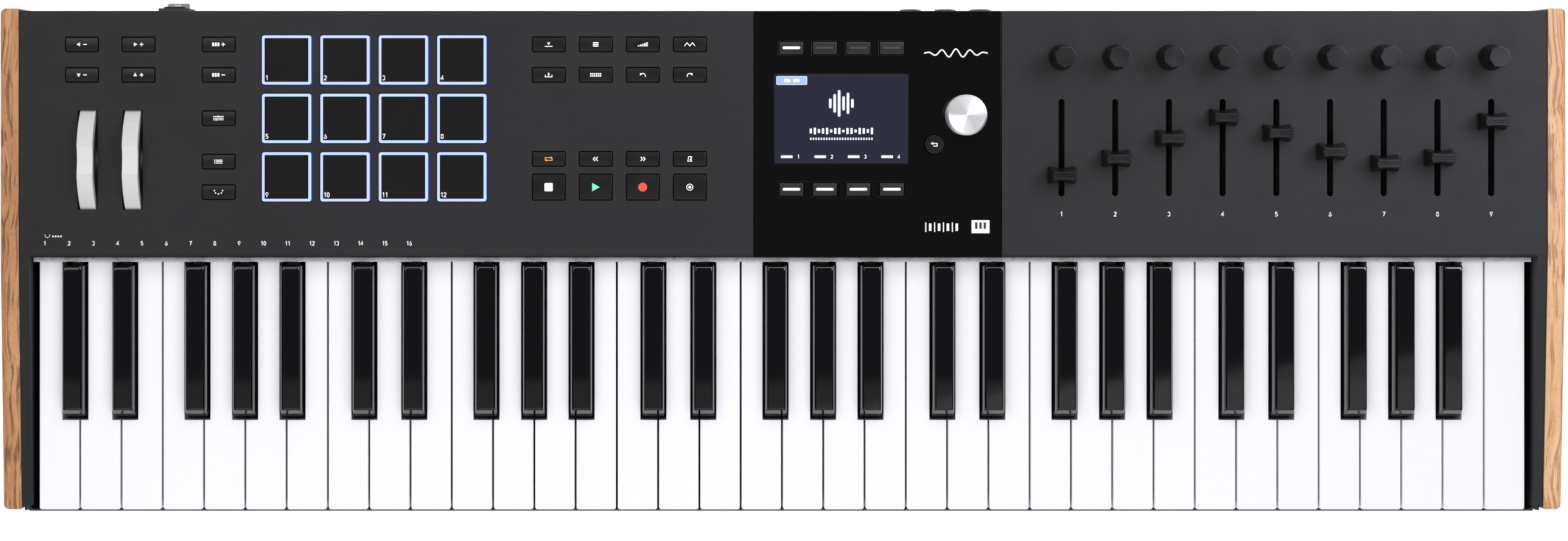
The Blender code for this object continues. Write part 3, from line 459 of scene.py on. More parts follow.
PANEL_GRAIN = {"grain": 1300, "depth": 2.2e-5}
PANEL = surface("panel_paint", (0.0110, 0.0110, 0.0122), 0.56, "panel_metal", specular=0.29, **PANEL_GRAIN)
CASE = surface("case_paint", (0.022, 0.022, 0.024), 0.55, "case_metal", tint=0.12, grain=1300, depth=2.5e-5)
GLOSS = gloss("gloss_plate", (0.0022, 0.0022, 0.0026), 0.06, "gloss_panel", specular=0.35)
# The same wood twice: painted shade darkens the left cheek's copy and painted light brightens the right one's.
SHADED_LEFT_WOOD = wood("left_wood_painted_shade", (0.56, 0.28, 0.125), (0.40, 0.175, 0.070), (0.10, 0.040, 0.018), "cheek_wood")
LIT_RIGHT_WOOD = wood("right_wood_painted_light", (0.82, 0.50, 0.28), (0.69, 0.39, 0.19), (0.36, 0.16, 0.065), "cheek_wood")
WHITE_KEY = ivory("white_key_plastic", (0.86, 0.855, 0.89), 0.24, "white_key")
BLACK_KEY = gloss("black_key_plastic", (0.0018, 0.0018, 0.0026), 0.03, "black_key", specular=0.45)
CAP_GRAIN = {"tint": 0.2, "grain": 2600, "depth": 4e-6}
CAP = surface("cap_plastic", (0.0055, 0.0055, 0.006), 0.34, "button_cap", specular=0.25, **CAP_GRAIN)
SCREEN_CAP_COLOUR = (0.0085, 0.0085, 0.0095)
SCREEN_CAP = surface("screen_cap_plastic", SCREEN_CAP_COLOUR, 0.42, "button_cap", specular=0.35, **CAP_GRAIN)
PAD_GRAIN = {"tint": 0.2, "grain": 1900, "depth": 1.2e-5}
PAD = surface("pad_silicone", (0.0050, 0.0050, 0.0054), 0.58, "pad_silicone", specular=0.12, **PAD_GRAIN)
WHEEL = surface("wheel_plastic", (0.63, 0.63, 0.615), 0.36, "wheel_plastic", tint=0.02, grain=1800, depth=4e-6)
KNOB_GRAIN = {"tint": 0.15, "grain": 2200, "depth": 4e-6}
KNOB = surface("knob_plastic", (0.0050, 0.0050, 0.0057), 0.35, "knob_plastic", specular=0.40, **KNOB_GRAIN)
SPUN = metal("spun_aluminium", (0.97, 0.97, 0.98), 0.38, "silver_metal", 0.9)
NICKEL = metal("nickel_plate", (0.62, 0.61, 0.60), 0.26, "silver_metal")
STEEL = metal("blackened_steel", (0.10, 0.10, 0.105), 0.40, "case_metal")
RUBBER_GRAIN = {"tint": 0.2, "grain": 900, "depth": 3e-5, "spread": 0.05}
RUBBER = surface("foot_rubber", (0.012, 0.012, 0.012), 0.85, "foot_rubber", **RUBBER_GRAIN)
FELT = fuzzy("grey_felt", (0.345, 0.345, 0.36), (0.158, 0.158, 0.166), "felt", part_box("felt_strip")[0].y)
BOARD = board_finish("circuit_board", (0.010, 0.110, 0.050), "circuit_board")
BLACK_BOARD = board_finish("black_circuit_board", (0.003, 0.003, 0.0035), "circuit_board")
FRAME = surface("frame_plastic", (0.05, 0.05, 0.055), 0.6, "frame_plastic")
INK = surface("white_print", (0.86, 0.86, 0.88), 0.6, tint=0.04, grain=3000, depth=3e-6)
DARK_INK = surface("dark_print", (0.01, 0.01, 0.012), 0.6, tint=0.2, grain=3000, depth=3e-6)
LAMP = lit("lamp_white", (0.92, 0.88, 1.0), 1.35)
LAMP_BAR = lit("lamp_bar", (0.95, 0.96, 1.0), 2.2)
LAMP_DIM = lit("lamp_dim", (0.05, 0.05, 0.055), 0.8)
LAMP_ORANGE = lit("lamp_orange", (1.0, 0.40, 0.11), 1.1)
LAMP_MINT = lit("lamp_mint", (0.16, 0.88, 0.48), 1.0)
LAMP_RED = lit("lamp_red", (0.90, 0.075, 0.05), 1.0)
PAD_LIGHT = lit("pad_light", (0.50, 0.62, 0.98), 0.88, 0.45)
PAD_SKIRT = lit("pad_skirt_light", (0.03, 0.12, 0.80), 0.9, 0.45)
SCREEN = lit("screen_ground", (0.0150, 0.0168, 0.0330), 0.95, 0.10)
SCREEN_WHITE = lit("screen_white", (0.86, 0.88, 0.93), 0.95, 0.2)
SCREEN_BLUE = lit("screen_blue", (0.33, 0.46, 0.86), 0.95, 0.2)

# Mesh building


def rounded(middle, half, corner, steps=4):
    """A rounded rectangle's points, counter-clockwise."""
    points = []
    for quarter, (sx, sy) in enumerate(((1, 1), (-1, 1), (-1, -1), (1, -1))):
        cx = middle[0] + sx * (half[0] - corner)
        cy = middle[1] + sy * (half[1] - corner)
        for i in range(steps + 1):
            angle = math.pi / 2 * (quarter + i / steps)
            points.append((cx + corner * math.cos(angle), cy + corner * math.sin(angle)))
    return points


def circle(middle, radius, sides):
    """A circle's points, counter-clockwise."""
    angles = [2 * math.pi * i / sides for i in range(sides)]
    return [(middle[0] + radius * math.cos(a), middle[1] + radius * math.sin(a)) for a in angles]


def bow(x, y, across, along, start=0, stop=360, steps=12):
    """Points along part of an ellipse, between two angles in degrees."""
    angles = [math.radians(start + (stop - start) * i / steps) for i in range(steps + 1)]
    return [(x + across * math.cos(a), y + along * math.sin(a)) for a in angles]


def cross(middle, reach, half):
    """A cross's points, counter-clockwise."""
    quarter, points = [(half, half), (half, reach), (-half, reach)], []
    for _ in range(4):
        points += [(middle[0] + a, middle[1] + b) for a, b in quarter]
        quarter = [(-b, a) for a, b in quarter]
    return points


def level(points, z):
    """Flat points lifted to a height."""
    return [(x, y, z) for x, y in points]


def new(build, *args):
    """A new mesh, made by one of the builders below."""
    bm = bmesh.new()
    build(bm, *args)
    return bm


def loft(bm, rings):
    """A closed skin through rings of equally many points, with both ends capped."""
    rows = [[bm.verts.new(point) for point in points] for points in rings]
    count = len(rows[0])
    for lower, upper in zip(rows, rows[1:]):
        for i in range(count):
            j = (i + 1) % count
            bm.faces.new((lower[i], lower[j], upper[j], upper[i]))
    bm.faces.new(rows[0][::-1])
    bm.faces.new(rows[-1])


def quarter_round(radius, steps=3):
    """How far in and how far up a rounded edge has come, step by step."""
    angles = [math.pi / 2 * i / steps for i in range(steps + 1)]
    return [(radius * (1 - math.cos(a)), radius * math.sin(a)) for a in angles]


def block(bm, middle, size, corner, low, high, edge):
    """A block with rounded upright corners and upper edges."""
    half = (size[0] / 2, size[1] / 2)
    rings = [level(rounded(middle, half, corner), low)]
    for inset, rise in quarter_round(edge):
        inner = (half[0] - inset, half[1] - inset)
        rings.append(level(rounded(middle, inner, max(corner - inset, corner * 0.3)), high - edge + rise))
    loft(bm, rings)


def box(bm, low, high):
    corners = [(low[0], low[1]), (high[0], low[1]), (high[0], high[1]), (low[0], high[1])]
    loft(bm, [level(corners, z) for z in (low[2], high[2])])


def side_prism(bm, outline, left, right):
    """An outline of (y, z) points carried along X."""
    loft(bm, [[(x, y, z) for y, z in outline] for x in (left, right)])


def turned(bm, middle, profile, sides=64):
    """A turned solid through (radius, z) pairs from the bottom up."""
    loft(bm, [level(circle(middle, radius, sides), z) for radius, z in profile])


def soften(bm, width, segments=2, only=None):
    """Rounds the sharp edges, or those of them that only() picks."""
    bmesh.ops.recalc_face_normals(bm, faces=bm.faces)
    sharp = [e for e in bm.edges if len(e.link_faces) == 2 and e.calc_face_angle(0) > math.radians(28)]
    if only:
        sharp = [e for e in sharp if only(e)]
    bmesh.ops.bevel(bm, geom=sharp, offset=width, segments=segments, affect="EDGES", profile=0.5)


def oblong(middle, size, corner, sign=-1):
    """A rounded rectangle's line as a function of its inset: sign 1 for a hole, -1 for an outline."""

    def line(inset):
        half = (size[0] / 2 + sign * inset, size[1] / 2 + sign * inset)
        return rounded(middle, half, max(corner + sign * inset, 1e-5))

    return line


def round_line(middle, radius, sign=-1, sides=32):
    """A circle's line as a function of its inset, with the same signs."""
    return lambda inset: circle(middle, radius + sign * inset, sides)


def plate(bm, lines, low, high, edge):
    """A flat plate inside its first line and outside its holes' lines, with rounded upper edges."""
    levels = [(0.0, low)] + [(inset, high - edge + rise) for inset, rise in quarter_round(edge)]
    rows = []
    for inset, z in levels:
        rows.append([[bm.verts.new((x, y, z)) for x, y in line(inset)] for line in lines])
    for lower, upper in zip(rows, rows[1:]):
        for a, b in zip(lower, upper):
            for i in range(len(a)):
                j = (i + 1) % len(a)
                bm.faces.new((a[i], a[j], b[j], b[i]))
    for row in (rows[0], rows[-1]):
        corners = [corner for line in row for corner in line]
        for triangle in tessellate_polygon([[corner.co for corner in line] for line in row]):
            bm.faces.new([corners[i] for i in triangle])


def piece(name, bm, finish, body="root", replaces=(), smooth=32):
    """The finished piece, riding on a body and standing for the CAD nodes that it replaces."""
    bmesh.ops.recalc_face_normals(bm, faces=bm.faces)
    mesh = bpy.data.meshes.new(name)
    bm.to_mesh(mesh)
    bm.free()
    mesh.shade_smooth()
    mesh.set_sharp_from_angle(angle=math.radians(smooth))
    mesh.materials.append(finish)
    made = bpy.data.objects.new(name, mesh)
    bpy.context.scene.collection.objects.link(made)
    even = made.modifiers.new("even_shading", "WEIGHTED_NORMAL")
    even.keep_sharp = True
    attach(made, body)
    if replaces:
        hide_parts(*replaces)
    return made


def face_rear(bm, x, y, z):
    """Turns a shape that was built flat, about the origin, to face the rear at a place."""
    turn = Matrix.Translation((x, y, z)) @ Matrix.Rotation(-math.pi / 2, 4, "X")
    bmesh.ops.transform(bm, matrix=turn, verts=bm.verts)


def rear_piece(name, lines, place, length, edge, finish):
    """A plate that faces the rear, such as a socket, and reaches so far back from its place."""
    bm = new(plate, lines, 0, length, edge)
    face_rear(bm, *place)
    piece(name, bm, finish)


def dress(node, finish, edge=0.0003):
    """A CAD node that stays on show, with its edges eased by modifiers."""
    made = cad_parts[node]
    made.data.materials.clear()
    made.data.materials.append(finish)
    weld = made.modifiers.new("weld", "WELD")
    weld.merge_threshold = 1e-5
    ease = made.modifiers.new("ease", "BEVEL")
    ease.width = edge
    ease.segments = 2
    ease.limit_method = "ANGLE"
    ease.angle_limit = math.radians(35)


# Print


class Pen:
    """Draws thin flat shapes, in millimetres about a middle, that stand just proud of a face."""

    def __init__(self, middle, face, sink=0.00025):
        self.bm = bmesh.new()
        self.middle = middle
        self.low = face - sink
        self.high = face + PRINT

    def at(self, x, y, z):
        return self.bm.verts.new((self.middle[0] + x / 1000, self.middle[1] + y / 1000, z))

    def shape(self, points):
        low = [self.at(x, y, self.low) for x, y in points]
        high = [self.at(x, y, self.high) for x, y in points]
        for i in range(len(points)):
            j = (i + 1) % len(points)
            self.bm.faces.new((low[i], low[j], high[j], high[i]))
        self.bm.faces.new(low[::-1])
        self.bm.faces.new(high)

    def bar(self, x, y, width, height, corner=0.0):
        if corner:
            self.shape(rounded((x, y), (width / 2, height / 2), corner))
        else:
            w, h = width / 2, height / 2
            self.shape([(x - w, y - h), (x + w, y - h), (x + w, y + h), (x - w, y + h)])

    def disc(self, x, y, radius):
        self.shape(circle((x, y), radius, 28))

    def dots(self, places, radius):
        for x, y in places:
            self.disc(x, y, radius)

    def line(self, points, width, closed=False):
        """A stroke with mitred corners."""
        count = len(points)
        path = [Vector(p) for p in points]
        sides = []
        for i, here in enumerate(path):
            before = path[i - 1] if closed or i else None
            after = path[(i + 1) % count] if closed or i < count - 1 else None
            ways = [(here - before).normalized()] if before else []
            ways += [(after - here).normalized()] if after else []
            along = sum(ways, Vector((0, 0))).normalized()
            reach = width / 2 / max(along.dot(ways[0]), 0.5)
            out = Vector((-along.y, along.x)) * reach
            sides.append((here + out, here - out))
        rows = [[self.at(p.x, p.y, z) for p, z in self.section(left, right)] for left, right in sides]
        ends = list(zip(rows, rows[1:]))
        if closed:
            ends.append((rows[-1], rows[0]))
        else:
            self.bm.faces.new(rows[0])
            self.bm.faces.new(rows[-1][::-1])
        for a, b in ends:
            for i in range(4):
                j = (i + 1) % 4
                self.bm.faces.new((a[i], a[j], b[j], b[i]))

    def section(self, left, right):
        return ((left, self.low), (right, self.low), (right, self.high), (left, self.high))

    def hoop(self, radius, width):
        self.line(circle((0, 0), radius, 28), width, closed=True)

    def done(self, name, finish, body="root"):
        return piece(name, self.bm, finish, body)


def figure_strokes(figure):
    """A figure's strokes, as parts of its height about its middle, and whether each closes on itself."""
    lower, upper = bow(0, -0.19, 0.25, 0.26)[:-1], bow(0, 0.19, 0.25, 0.26)[:-1]
    upper_bow = bow(-0.03, 0.21, 0.22, 0.23, 150, -90)
    return {
        "0": [(bow(0, 0, 0.24, 0.45)[:-1], True)],
        "1": [([(-0.17, 0.26), (0.06, 0.45), (0.06, -0.45)], False)],
        "2": [(bow(0, 0.2, 0.23, 0.24, 165, -30) + [(-0.24, -0.43), (0.26, -0.43)], False)],
        "3": [(upper_bow, False), (bow(-0.03, -0.21, 0.25, 0.23, 90, -150), False)],
        "4": [([(0.12, -0.45), (0.12, 0.45), (-0.28, -0.18), (0.30, -0.18)], False)],
        "5": [([(0.21, 0.43), (-0.16, 0.43)] + bow(-0.03, -0.17, 0.26, 0.27, 125, -140), False)],
        "6": [(lower, True), ([(0.12, 0.45), (-0.13, 0.12), (-0.25, -0.15)], False)],
        "7": [([(-0.24, 0.43), (0.24, 0.43), (-0.06, -0.45)], False)],
        "8": [(bow(0, 0.22, 0.20, 0.21)[:-1], True), (bow(0, -0.20, 0.25, 0.24)[:-1], True)],
        "9": [(upper, True), ([(-0.12, -0.45), (0.13, -0.12), (0.25, 0.15)], False)],
    }[figure]


def number(name, text, middle, height, face, finish, body="root"):
    """A number, its figures drawn in strokes."""
    pen, tall = Pen(middle, face), height * 1000
    for index, figure in enumerate(text):
        shift = (index - (len(text) - 1) / 2) * 0.66 * tall
        for points, closed in figure_strokes(figure):
            pen.line([(shift + x * tall, y * tall) for x, y in points], 0.18 * tall, closed)
    return pen.done(name, finish, body)


# Panels and case


def panel_holes(left, right):
    """The lines of the metal panel's holes between two sides."""
    found = [((x, y), BUTTON_SIZE, HOLE_CORNER) for x in LEFT_COLUMNS for y in UPPER_ROWS]
    found += [((SIDE_COLUMN, y), BUTTON_SIZE, HOLE_CORNER) for y in SIDE_ROWS]
    rows = (*UPPER_ROWS, TRANSPORT_ROW)
    found += [((x, y), BUTTON_SIZE, HOLE_CORNER) for x in CENTRE_COLUMNS for y in rows]
    found += [((x, TALL_ROW), TALL_BUTTON_SIZE, HOLE_CORNER) for x in CENTRE_COLUMNS]
    found += [((x, y), (PAD_HOLE, PAD_HOLE), PAD_HOLE_CORNER) for x in PAD_COLUMNS for y in PAD_ROWS]
    found += [((x, WHEEL_Y), WHEEL_SLOT, WHEEL_SLOT_CORNER) for x in WHEEL_MIDDLES.values()]
    found += [((x, FADER_SLOT_Y), FADER_SLOT, FADER_SLOT[0] / 2 - 1e-5) for x in CHANNEL_XS]
    lines = [oblong(middle, size, corner, 1) for middle, size, corner in found if left < middle[0] < right]
    lines += [round_line((x, KNOB_Y), KNOB_HOLE_RADIUS, 1) for x in CHANNEL_XS if left < x < right]
    return lines


def bend_profile():
    """The sheet's front bend in section, as (y, z) points."""
    inner = BEND_RADIUS - PANEL_THICKNESS
    middle = (PANEL_FRONT + BEND_RADIUS, PANEL_TOP - BEND_RADIUS)
    angles = [math.pi / 2 * (1 + i / 8) for i in range(9)]
    outer_arc = [(middle[0] + BEND_RADIUS * math.cos(a), middle[1] + BEND_RADIUS * math.sin(a)) for a in angles]
    inner_arc = [(middle[0] + inner * math.cos(a), middle[1] + inner * math.sin(a)) for a in reversed(angles)]
    foot = [(PANEL_FRONT, FOLD_BOTTOM), (PANEL_FRONT + PANEL_THICKNESS, FOLD_BOTTOM)]
    return outer_arc + foot + inner_arc


def make_top_panel():
    """The metal sheet in two halves, its front bend, the fold between them, and an arm at each end."""
    reach = CASE_HALF - ARM_WIDTH
    under = PANEL_TOP - PANEL_THICKNESS
    bend_y = PANEL_FRONT + BEND_RADIUS
    halves = (("left", -CASE_HALF, CENTRE_LEFT - GAP), ("right", CENTRE_RIGHT + GAP, CASE_HALF))
    for side, left, right in halves:

        def outline(inset, left=left, right=right):
            low, high = left + inset, right - inset
            return [(low, bend_y), (high, bend_y), (high, REAR_Y - inset), (low, REAR_Y - inset)]

        sheet = new(plate, [outline, *panel_holes(left, right)], under, PANEL_TOP, PANEL_EDGE)
        piece(f"top_panel_{side}", sheet, PANEL, replaces=["top_panel"] if side == "left" else ())
        bend = new(side_prism, bend_profile(), max(left, -reach), min(right, reach))
        piece(f"top_panel_{side}_bend", bend, PANEL)
    low = (CENTRE_LEFT - FOLD_OVERLAP, PANEL_FRONT, FOLD_BOTTOM)
    fold = new(box, low, (CENTRE_RIGHT + FOLD_OVERLAP, PANEL_FRONT + PANEL_THICKNESS, under - GAP))
    soften(fold, 0.0002)
    piece("top_panel_middle_fold", fold, PANEL)
    profile = [(ARM_FRONT, ARM_BOTTOM), (ARM_REAR, ARM_BOTTOM), (ARM_REAR, under)]
    profile += [(bend_y, under), (bend_y, PANEL_TOP), (ARM_FRONT, ARM_FRONT_TOP)]
    for side, left, right in (("left", -CASE_HALF, -reach), ("right", reach, CASE_HALF)):
        arm = new(side_prism, profile, left, right)
        soften(arm, 0.0004, 3, lambda edge: max(v.co.y for v in edge.verts) < bend_y - 1e-5)
        piece(f"arm_{side}", arm, PANEL)


def make_centre_panel():
    middle = ((CENTRE_LEFT + CENTRE_RIGHT) / 2, (PANEL_FRONT + REAR_Y) / 2)
    size = (CENTRE_RIGHT - CENTRE_LEFT, REAR_Y - PANEL_FRONT)
    lines = [oblong(middle, size, 0.0003), oblong(DISPLAY_MIDDLE, DISPLAY_SIZE, 0.0003, 1)]
    lines += [oblong((x, y), SCREEN_BUTTON_SIZE, 0.0004, 1) for x in SCREEN_COLUMNS for y in SCREEN_ROWS]
    lines += [round_line(ENCODER_MIDDLE, ENCODER_HOLE_RADIUS, 1), round_line(BACK_MIDDLE, BACK_HOLE_RADIUS, 1)]
    glossy = new(plate, lines, PANEL_TOP - PANEL_THICKNESS, PANEL_TOP, 0.0003)
    piece("centre_panel_plate", glossy, GLOSS, replaces=["centre_panel"])


def make_cheek(side, sign, finish):
    """A wooden end, and a thin dark sheet between it and the case: painted shade in the gap."""
    outline = [(CHEEK_FRONT, CHEEK_BOTTOM), (CHEEK_REAR, CHEEK_BOTTOM), (CHEEK_REAR, CHEEK_TOP)]
    outline += [(PANEL_FRONT, CHEEK_TOP), (CHEEK_FRONT, CHEEK_FRONT_TOP)]
    plank = new(side_prism, outline, *sorted((sign * CHEEK_INNER, sign * CHEEK_OUTER)))

    def outer(edge):
        ends = [v.co for v in edge.verts]
        on_face = all(abs(end.x - sign * CHEEK_OUTER) < 1e-6 for end in ends)
        return on_face and max(end.z for end in ends) > CHEEK_BOTTOM + 0.001

    soften(plank, CHEEK_CORNER, 7, outer)
    soften(plank, 0.0006, 3, lambda edge: abs(edge.calc_face_angle(0)) > math.radians(60))
    piece(f"{side}_cheek_wood", plank, finish, replaces=[f"{side}_cheek"])
    # Painted shade: a thin dark sheet in the gap between the cheek and the case.
    low, high = sorted((sign * (CHEEK_INNER - 0.00022), sign * (CHEEK_INNER - 0.00002)))
    front, rear, bottom = CHEEK_FRONT + 0.001, CHEEK_REAR - 0.0006, CHEEK_BOTTOM + 0.001
    gap_shade = [(front, bottom), (rear, bottom), (rear, CHEEK_TOP - 0.0008)]
    gap_shade += [(PANEL_FRONT, CHEEK_TOP - 0.0008), (front, CHEEK_FRONT_TOP - 0.0007)]
    piece(f"{side}_cheek_gap_shade", new(side_prism, gap_shade, low, high), CASE)


def make_screw(name, x, y):
    """A cross-head screw in the case's floor, facing down."""
    recess = cross((0, 0), SCREW_RADIUS * 0.55, SCREW_RADIUS * 0.14)
    head = new(plate, [round_line((0, 0), SCREW_RADIUS, sides=36), lambda inset: recess], 0.0, 0.0007, 0.0002)
    turn = Matrix.Translation((x, y, SCREW_TOP)) @ Matrix.Scale(-1, 4, (0, 0, 1))
    bmesh.ops.transform(head, matrix=turn, verts=head.verts)
    piece(name, head, STEEL)


def make_case():
    dress("bottom_case", CASE, 0.0004)
    for column, x in enumerate(SCREW_XS):
        for row, y in enumerate(SCREW_YS):
            make_screw(f"case_screw_{2 * column + row + 1}", x, y)
    profile = ((0.0070, 0.0002), (0.0078, 0.0), (0.0086, 0.0003), (0.0090, 0.0010), (0.0090, 0.0032))
    for depth, y in (("front", -FOOT_Y), ("rear", FOOT_Y)):
        for side, x in (("left", -FOOT_X), ("right", FOOT_X)):
            name = f"foot_{depth}_{side}"
            foot = new(turned, (x, y), (*profile, (0.0088, 0.0037)))
            piece(f"{name}_rubber", foot, RUBBER, replaces=[name])


def make_felt():
    """A felt strip whose edges fray a little."""
    low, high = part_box("felt_strip")
    outline = [(0.0, 0.15), (0.0, 0.85), (0.08, 1.0), (0.5, 1.0)]
    outline += [(0.95, 1.0), (1.0, 0.5), (0.95, 0.0), (0.08, 0.0)]
    rings = []
    for i in range(FELT_STEPS + 1):
        x = low.x + (high.x - low.x) * i / FELT_STEPS
        points = []
        for j, (a, b) in enumerate(outline):
            fray = FRAY_REACH * (math.sin(i * 1.7 + j * 2.3) + math.sin(i * 0.61 + j * 4.1) - 2) / 2
            y = low.y + (high.y - low.y) * a - (fray if a < 0.2 else 0)
            z = low.z + (high.z - low.z) * b + fray * 0.5 * b
            points.append((x, y, z))
        rings.append(points)
    piece("felt_strip_cloth", new(loft, rings), FELT, replaces=["felt_strip"], smooth=60)


# Keys


def white_span(index):
    left = KEYS_LEFT + index * KEY_PITCH
    return left + KEY_GAP / 2, left + KEY_PITCH - KEY_GAP / 2


def sharp_middle(octave, sharp):
    boundary, offset = SHARPS[sharp]
    return KEYS_LEFT + octave * OCTAVE_WIDTH + boundary * KEY_PITCH + offset


def narrow_span(index):
    """Left and right side of a white key's rear part, between the black keys."""
    left, right = white_span(index)
    for octave in range(OCTAVES):
        for sharp in range(len(SHARPS)):
            middle = sharp_middle(octave, sharp)
            if left < middle - NOTCH_WIDTH / 2 < right:
                right = middle - NOTCH_WIDTH / 2
            if left < middle + NOTCH_WIDTH / 2 < right:
                left = middle + NOTCH_WIDTH / 2
    return left, right


def front_corner(x, sign):
    """The rounded front corner of a white key; sign -1 for its left side."""
    points = []
    for i in range(7):
        angle = math.pi / 2 * i / 6
        across, along = 1 - math.sin(angle), 1 - math.cos(angle)
        points.append((x - sign * WHITE_CORNER * across, WHITE_FRONT + WHITE_CORNER * along))
    return points if sign > 0 else points[::-1]


def make_white_key(index, body, replaces):
    left, right = white_span(index)
    back_left, back_right = narrow_span(index)
    outline = front_corner(left, -1) + front_corner(right, 1) + [(right, NOTCH_FRONT)]
    if back_right < right:
        outline.append((back_right, NOTCH_FRONT))
    outline += [(back_right, WHITE_REAR), (back_left, WHITE_REAR)]
    if back_left > left:
        outline.append((back_left, NOTCH_FRONT))
    outline.append((left, NOTCH_FRONT))
    key = new(loft, [level(outline, z) for z in (WHITE_BOTTOM, WHITE_TOP)])
    soften(key, WHITE_EDGE, 4, lambda edge: all(v.co.z > WHITE_TOP - 1e-6 for v in edge.verts))
    piece(f"white_key_{index + 1:02d}", key, WHITE_KEY, body, replaces)


def eased(share, start):
    """How far a rounded edge has come in, at a share of the height, when the rounding starts at another."""
    part = 0.985 * max(0.0, share - start) / (1 - start)
    return (1 - math.sqrt(1 - part * part)) / (1 - math.sqrt(1 - 0.985 * 0.985))


def black_end(drop, share):
    """How far in a black key's rear end is at a depth below its top: a slight lean, then a wide round."""
    reach = BLACK_END_RADIUS * math.sin(math.radians(BLACK_END_ANGLE))
    depth = BLACK_END_RADIUS * (1 - math.cos(math.radians(BLACK_END_ANGLE)))
    if drop > depth:
        return BLACK_END * share
    return BLACK_END + reach - math.sqrt(max(0.0, 2 * BLACK_END_RADIUS * drop - drop * drop))


def make_black_key(count, middle, body, replaces):
    """A tapered black key with rounded shoulders and a sloping front."""
    levels = [(BLACK_BOTTOM, 0.0, 0.0, 0.0), (WHITE_TOP, 0.0, 0.0, 0.0)]
    for share in (0.03, 0.1, 0.3, 0.5, 0.6, 0.7, 0.78, 0.85, 0.9, 0.94, 0.965, 0.982, 0.993, 1.0):
        side = 0.22 * share + 0.78 * eased(share, 0.55)
        end = 0.84 * share + 0.16 * eased(share, 0.86)
        levels.append((WHITE_TOP + (BLACK_TOP - WHITE_TOP) * share, side, end, share))
    rings = []
    for z, side, end, share in levels:
        low, high = BLACK_FRONT + BLACK_SLOPE * end, BLACK_REAR - black_end(BLACK_TOP - z, share)
        half = (BLACK_BASE_HALF - BLACK_SHOULDER * side, (high - low) / 2)
        rings.append(level(rounded((middle, (low + high) / 2), half, BLACK_CORNER, 5), z))
    piece(f"black_key_{count:02d}", new(loft, rings), BLACK_KEY, body, replaces, smooth=50)


def make_rail(octave, group, middles, body):
    """The bar behind an octave's keys that carries them, with its pivot pins."""
    bottom = RAIL_BOTTOMS[group]
    top = bottom + RAIL_HEIGHT
    start = KEYS_LEFT + octave * OCTAVE_WIDTH
    stop = start + OCTAVE_WIDTH + (KEY_PITCH if octave == OCTAVES - 1 else 0)
    left, right = start + RAIL_END_GAP, stop - RAIL_END_GAP
    front = PIVOT_Y - RAIL_HALF_DEPTH
    rail = new(box, (left, front, bottom), (right, PIVOT_Y + RAIL_HALF_DEPTH, top))
    tail_front = WHITE_REAR - (0.0035 if group == "sharps" else 0.0010)
    for middle in middles:
        box(rail, (middle - TAIL_HALF, tail_front, bottom), (middle + TAIL_HALF, front, top))
    soften(rail, 0.0002)
    pin = circle((PIVOT_Y, bottom + RAIL_HEIGHT / 2), PIN_RADIUS, 16)
    for x, way in ((left, -1), (right, 1)):
        side_prism(rail, pin, *sorted((x, x + way * PIN_LENGTH)))
    piece(f"octave_{octave + 1}_rail_{group}", rail, FRAME, body)


def make_keys():
    groups = {"c_e_g_b": (0, 2, 4, 6), "d_f_a": (1, 3, 5)}
    for octave in range(OCTAVES):
        for group, steps in groups.items():
            body = f"octave_{octave + 1}_keys_{group}"
            if octave == OCTAVES - 1 and group == "c_e_g_b":
                steps = (*steps, 7)
            indices = [7 * octave + step for step in steps]
            for index in indices:
                make_white_key(index, body, [body] if index == indices[0] else ())
            make_rail(octave, group, [sum(narrow_span(index)) / 2 for index in indices], body)
        body = f"octave_{octave + 1}_keys_sharps"
        middles = [sharp_middle(octave, sharp) for sharp in range(len(SHARPS))]
        for sharp, middle in enumerate(middles):
            make_black_key(5 * octave + sharp + 1, middle, body, [body] if sharp == 0 else ())
        make_rail(octave, "sharps", middles, body)


# Buttons


def triangle(pen, x, y, reach, turn):
    """A solid triangle that points the way turn says, in degrees from +X."""
    points = []
    for corner in (0, 125, 235):
        angle = math.radians(turn + corner)
        points.append((x + reach * math.cos(angle), y + reach * math.sin(angle)))
    pen.shape(points)


def more_or_less(pen, x, more):
    """A plus or a minus sign."""
    if more:
        pen.shape(cross((x, 0), 1.0, 0.24))
    else:
        pen.bar(x, 0, 2.0, 0.48)


def sign_step(turn, more):
    def draw(pen):
        triangle(pen, -1.7, 0, 1.25, turn)
        more_or_less(pen, 1.9, more)

    return draw


def sign_bank(more):
    def draw(pen):
        for i in range(3):
            pen.bar(-3.0 + 1.5 * i, 0, 1.0, 2.0, 0.15)
        more_or_less(pen, 2.7, more)

    return draw


def sign_settings(pen):
    for i, shift in enumerate((-1.2, 1.4, -0.2)):
        y = 0.95 * (i - 1)
        pen.bar((shift - 3.5) / 2, y, 2.5 + shift, 0.28)
        pen.bar((shift + 3.5) / 2, y, 2.5 - shift, 0.28)
        pen.disc(shift, y, 0.42)


def sign_list(pen):
    for i in range(3):
        y = 0.85 * (i - 1)
        pen.disc(-2.1, y, 0.27)
        pen.bar(0.45, y, 3.7, 0.34)


def sign_dots(pen):
    pen.dots(bow(0, 0.9, 2.3, 1.9, 180, 360, 4), 0.38)


def sign_hold(pen):
    triangle(pen, 0, 0.45, 1.05, 270)
    pen.bar(0, -1.15, 4.4, 0.42)


def sign_chord(pen):
    for i in range(3):
        pen.bar(0, 0.95 * (i - 1), 3.2, 0.55, 0.25)


def sign_scale(pen):
    for i in range(5):
        height = 0.55 + 0.42 * i
        pen.bar(-2.4 + 1.2 * i, -1.1 + height / 2, 0.8, height)


def sign_arp(pen):
    pen.line([(-3.0, -0.9), (-1.5, 0.9), (0.0, -0.9), (1.5, 0.9), (3.0, -0.9)], 0.45)


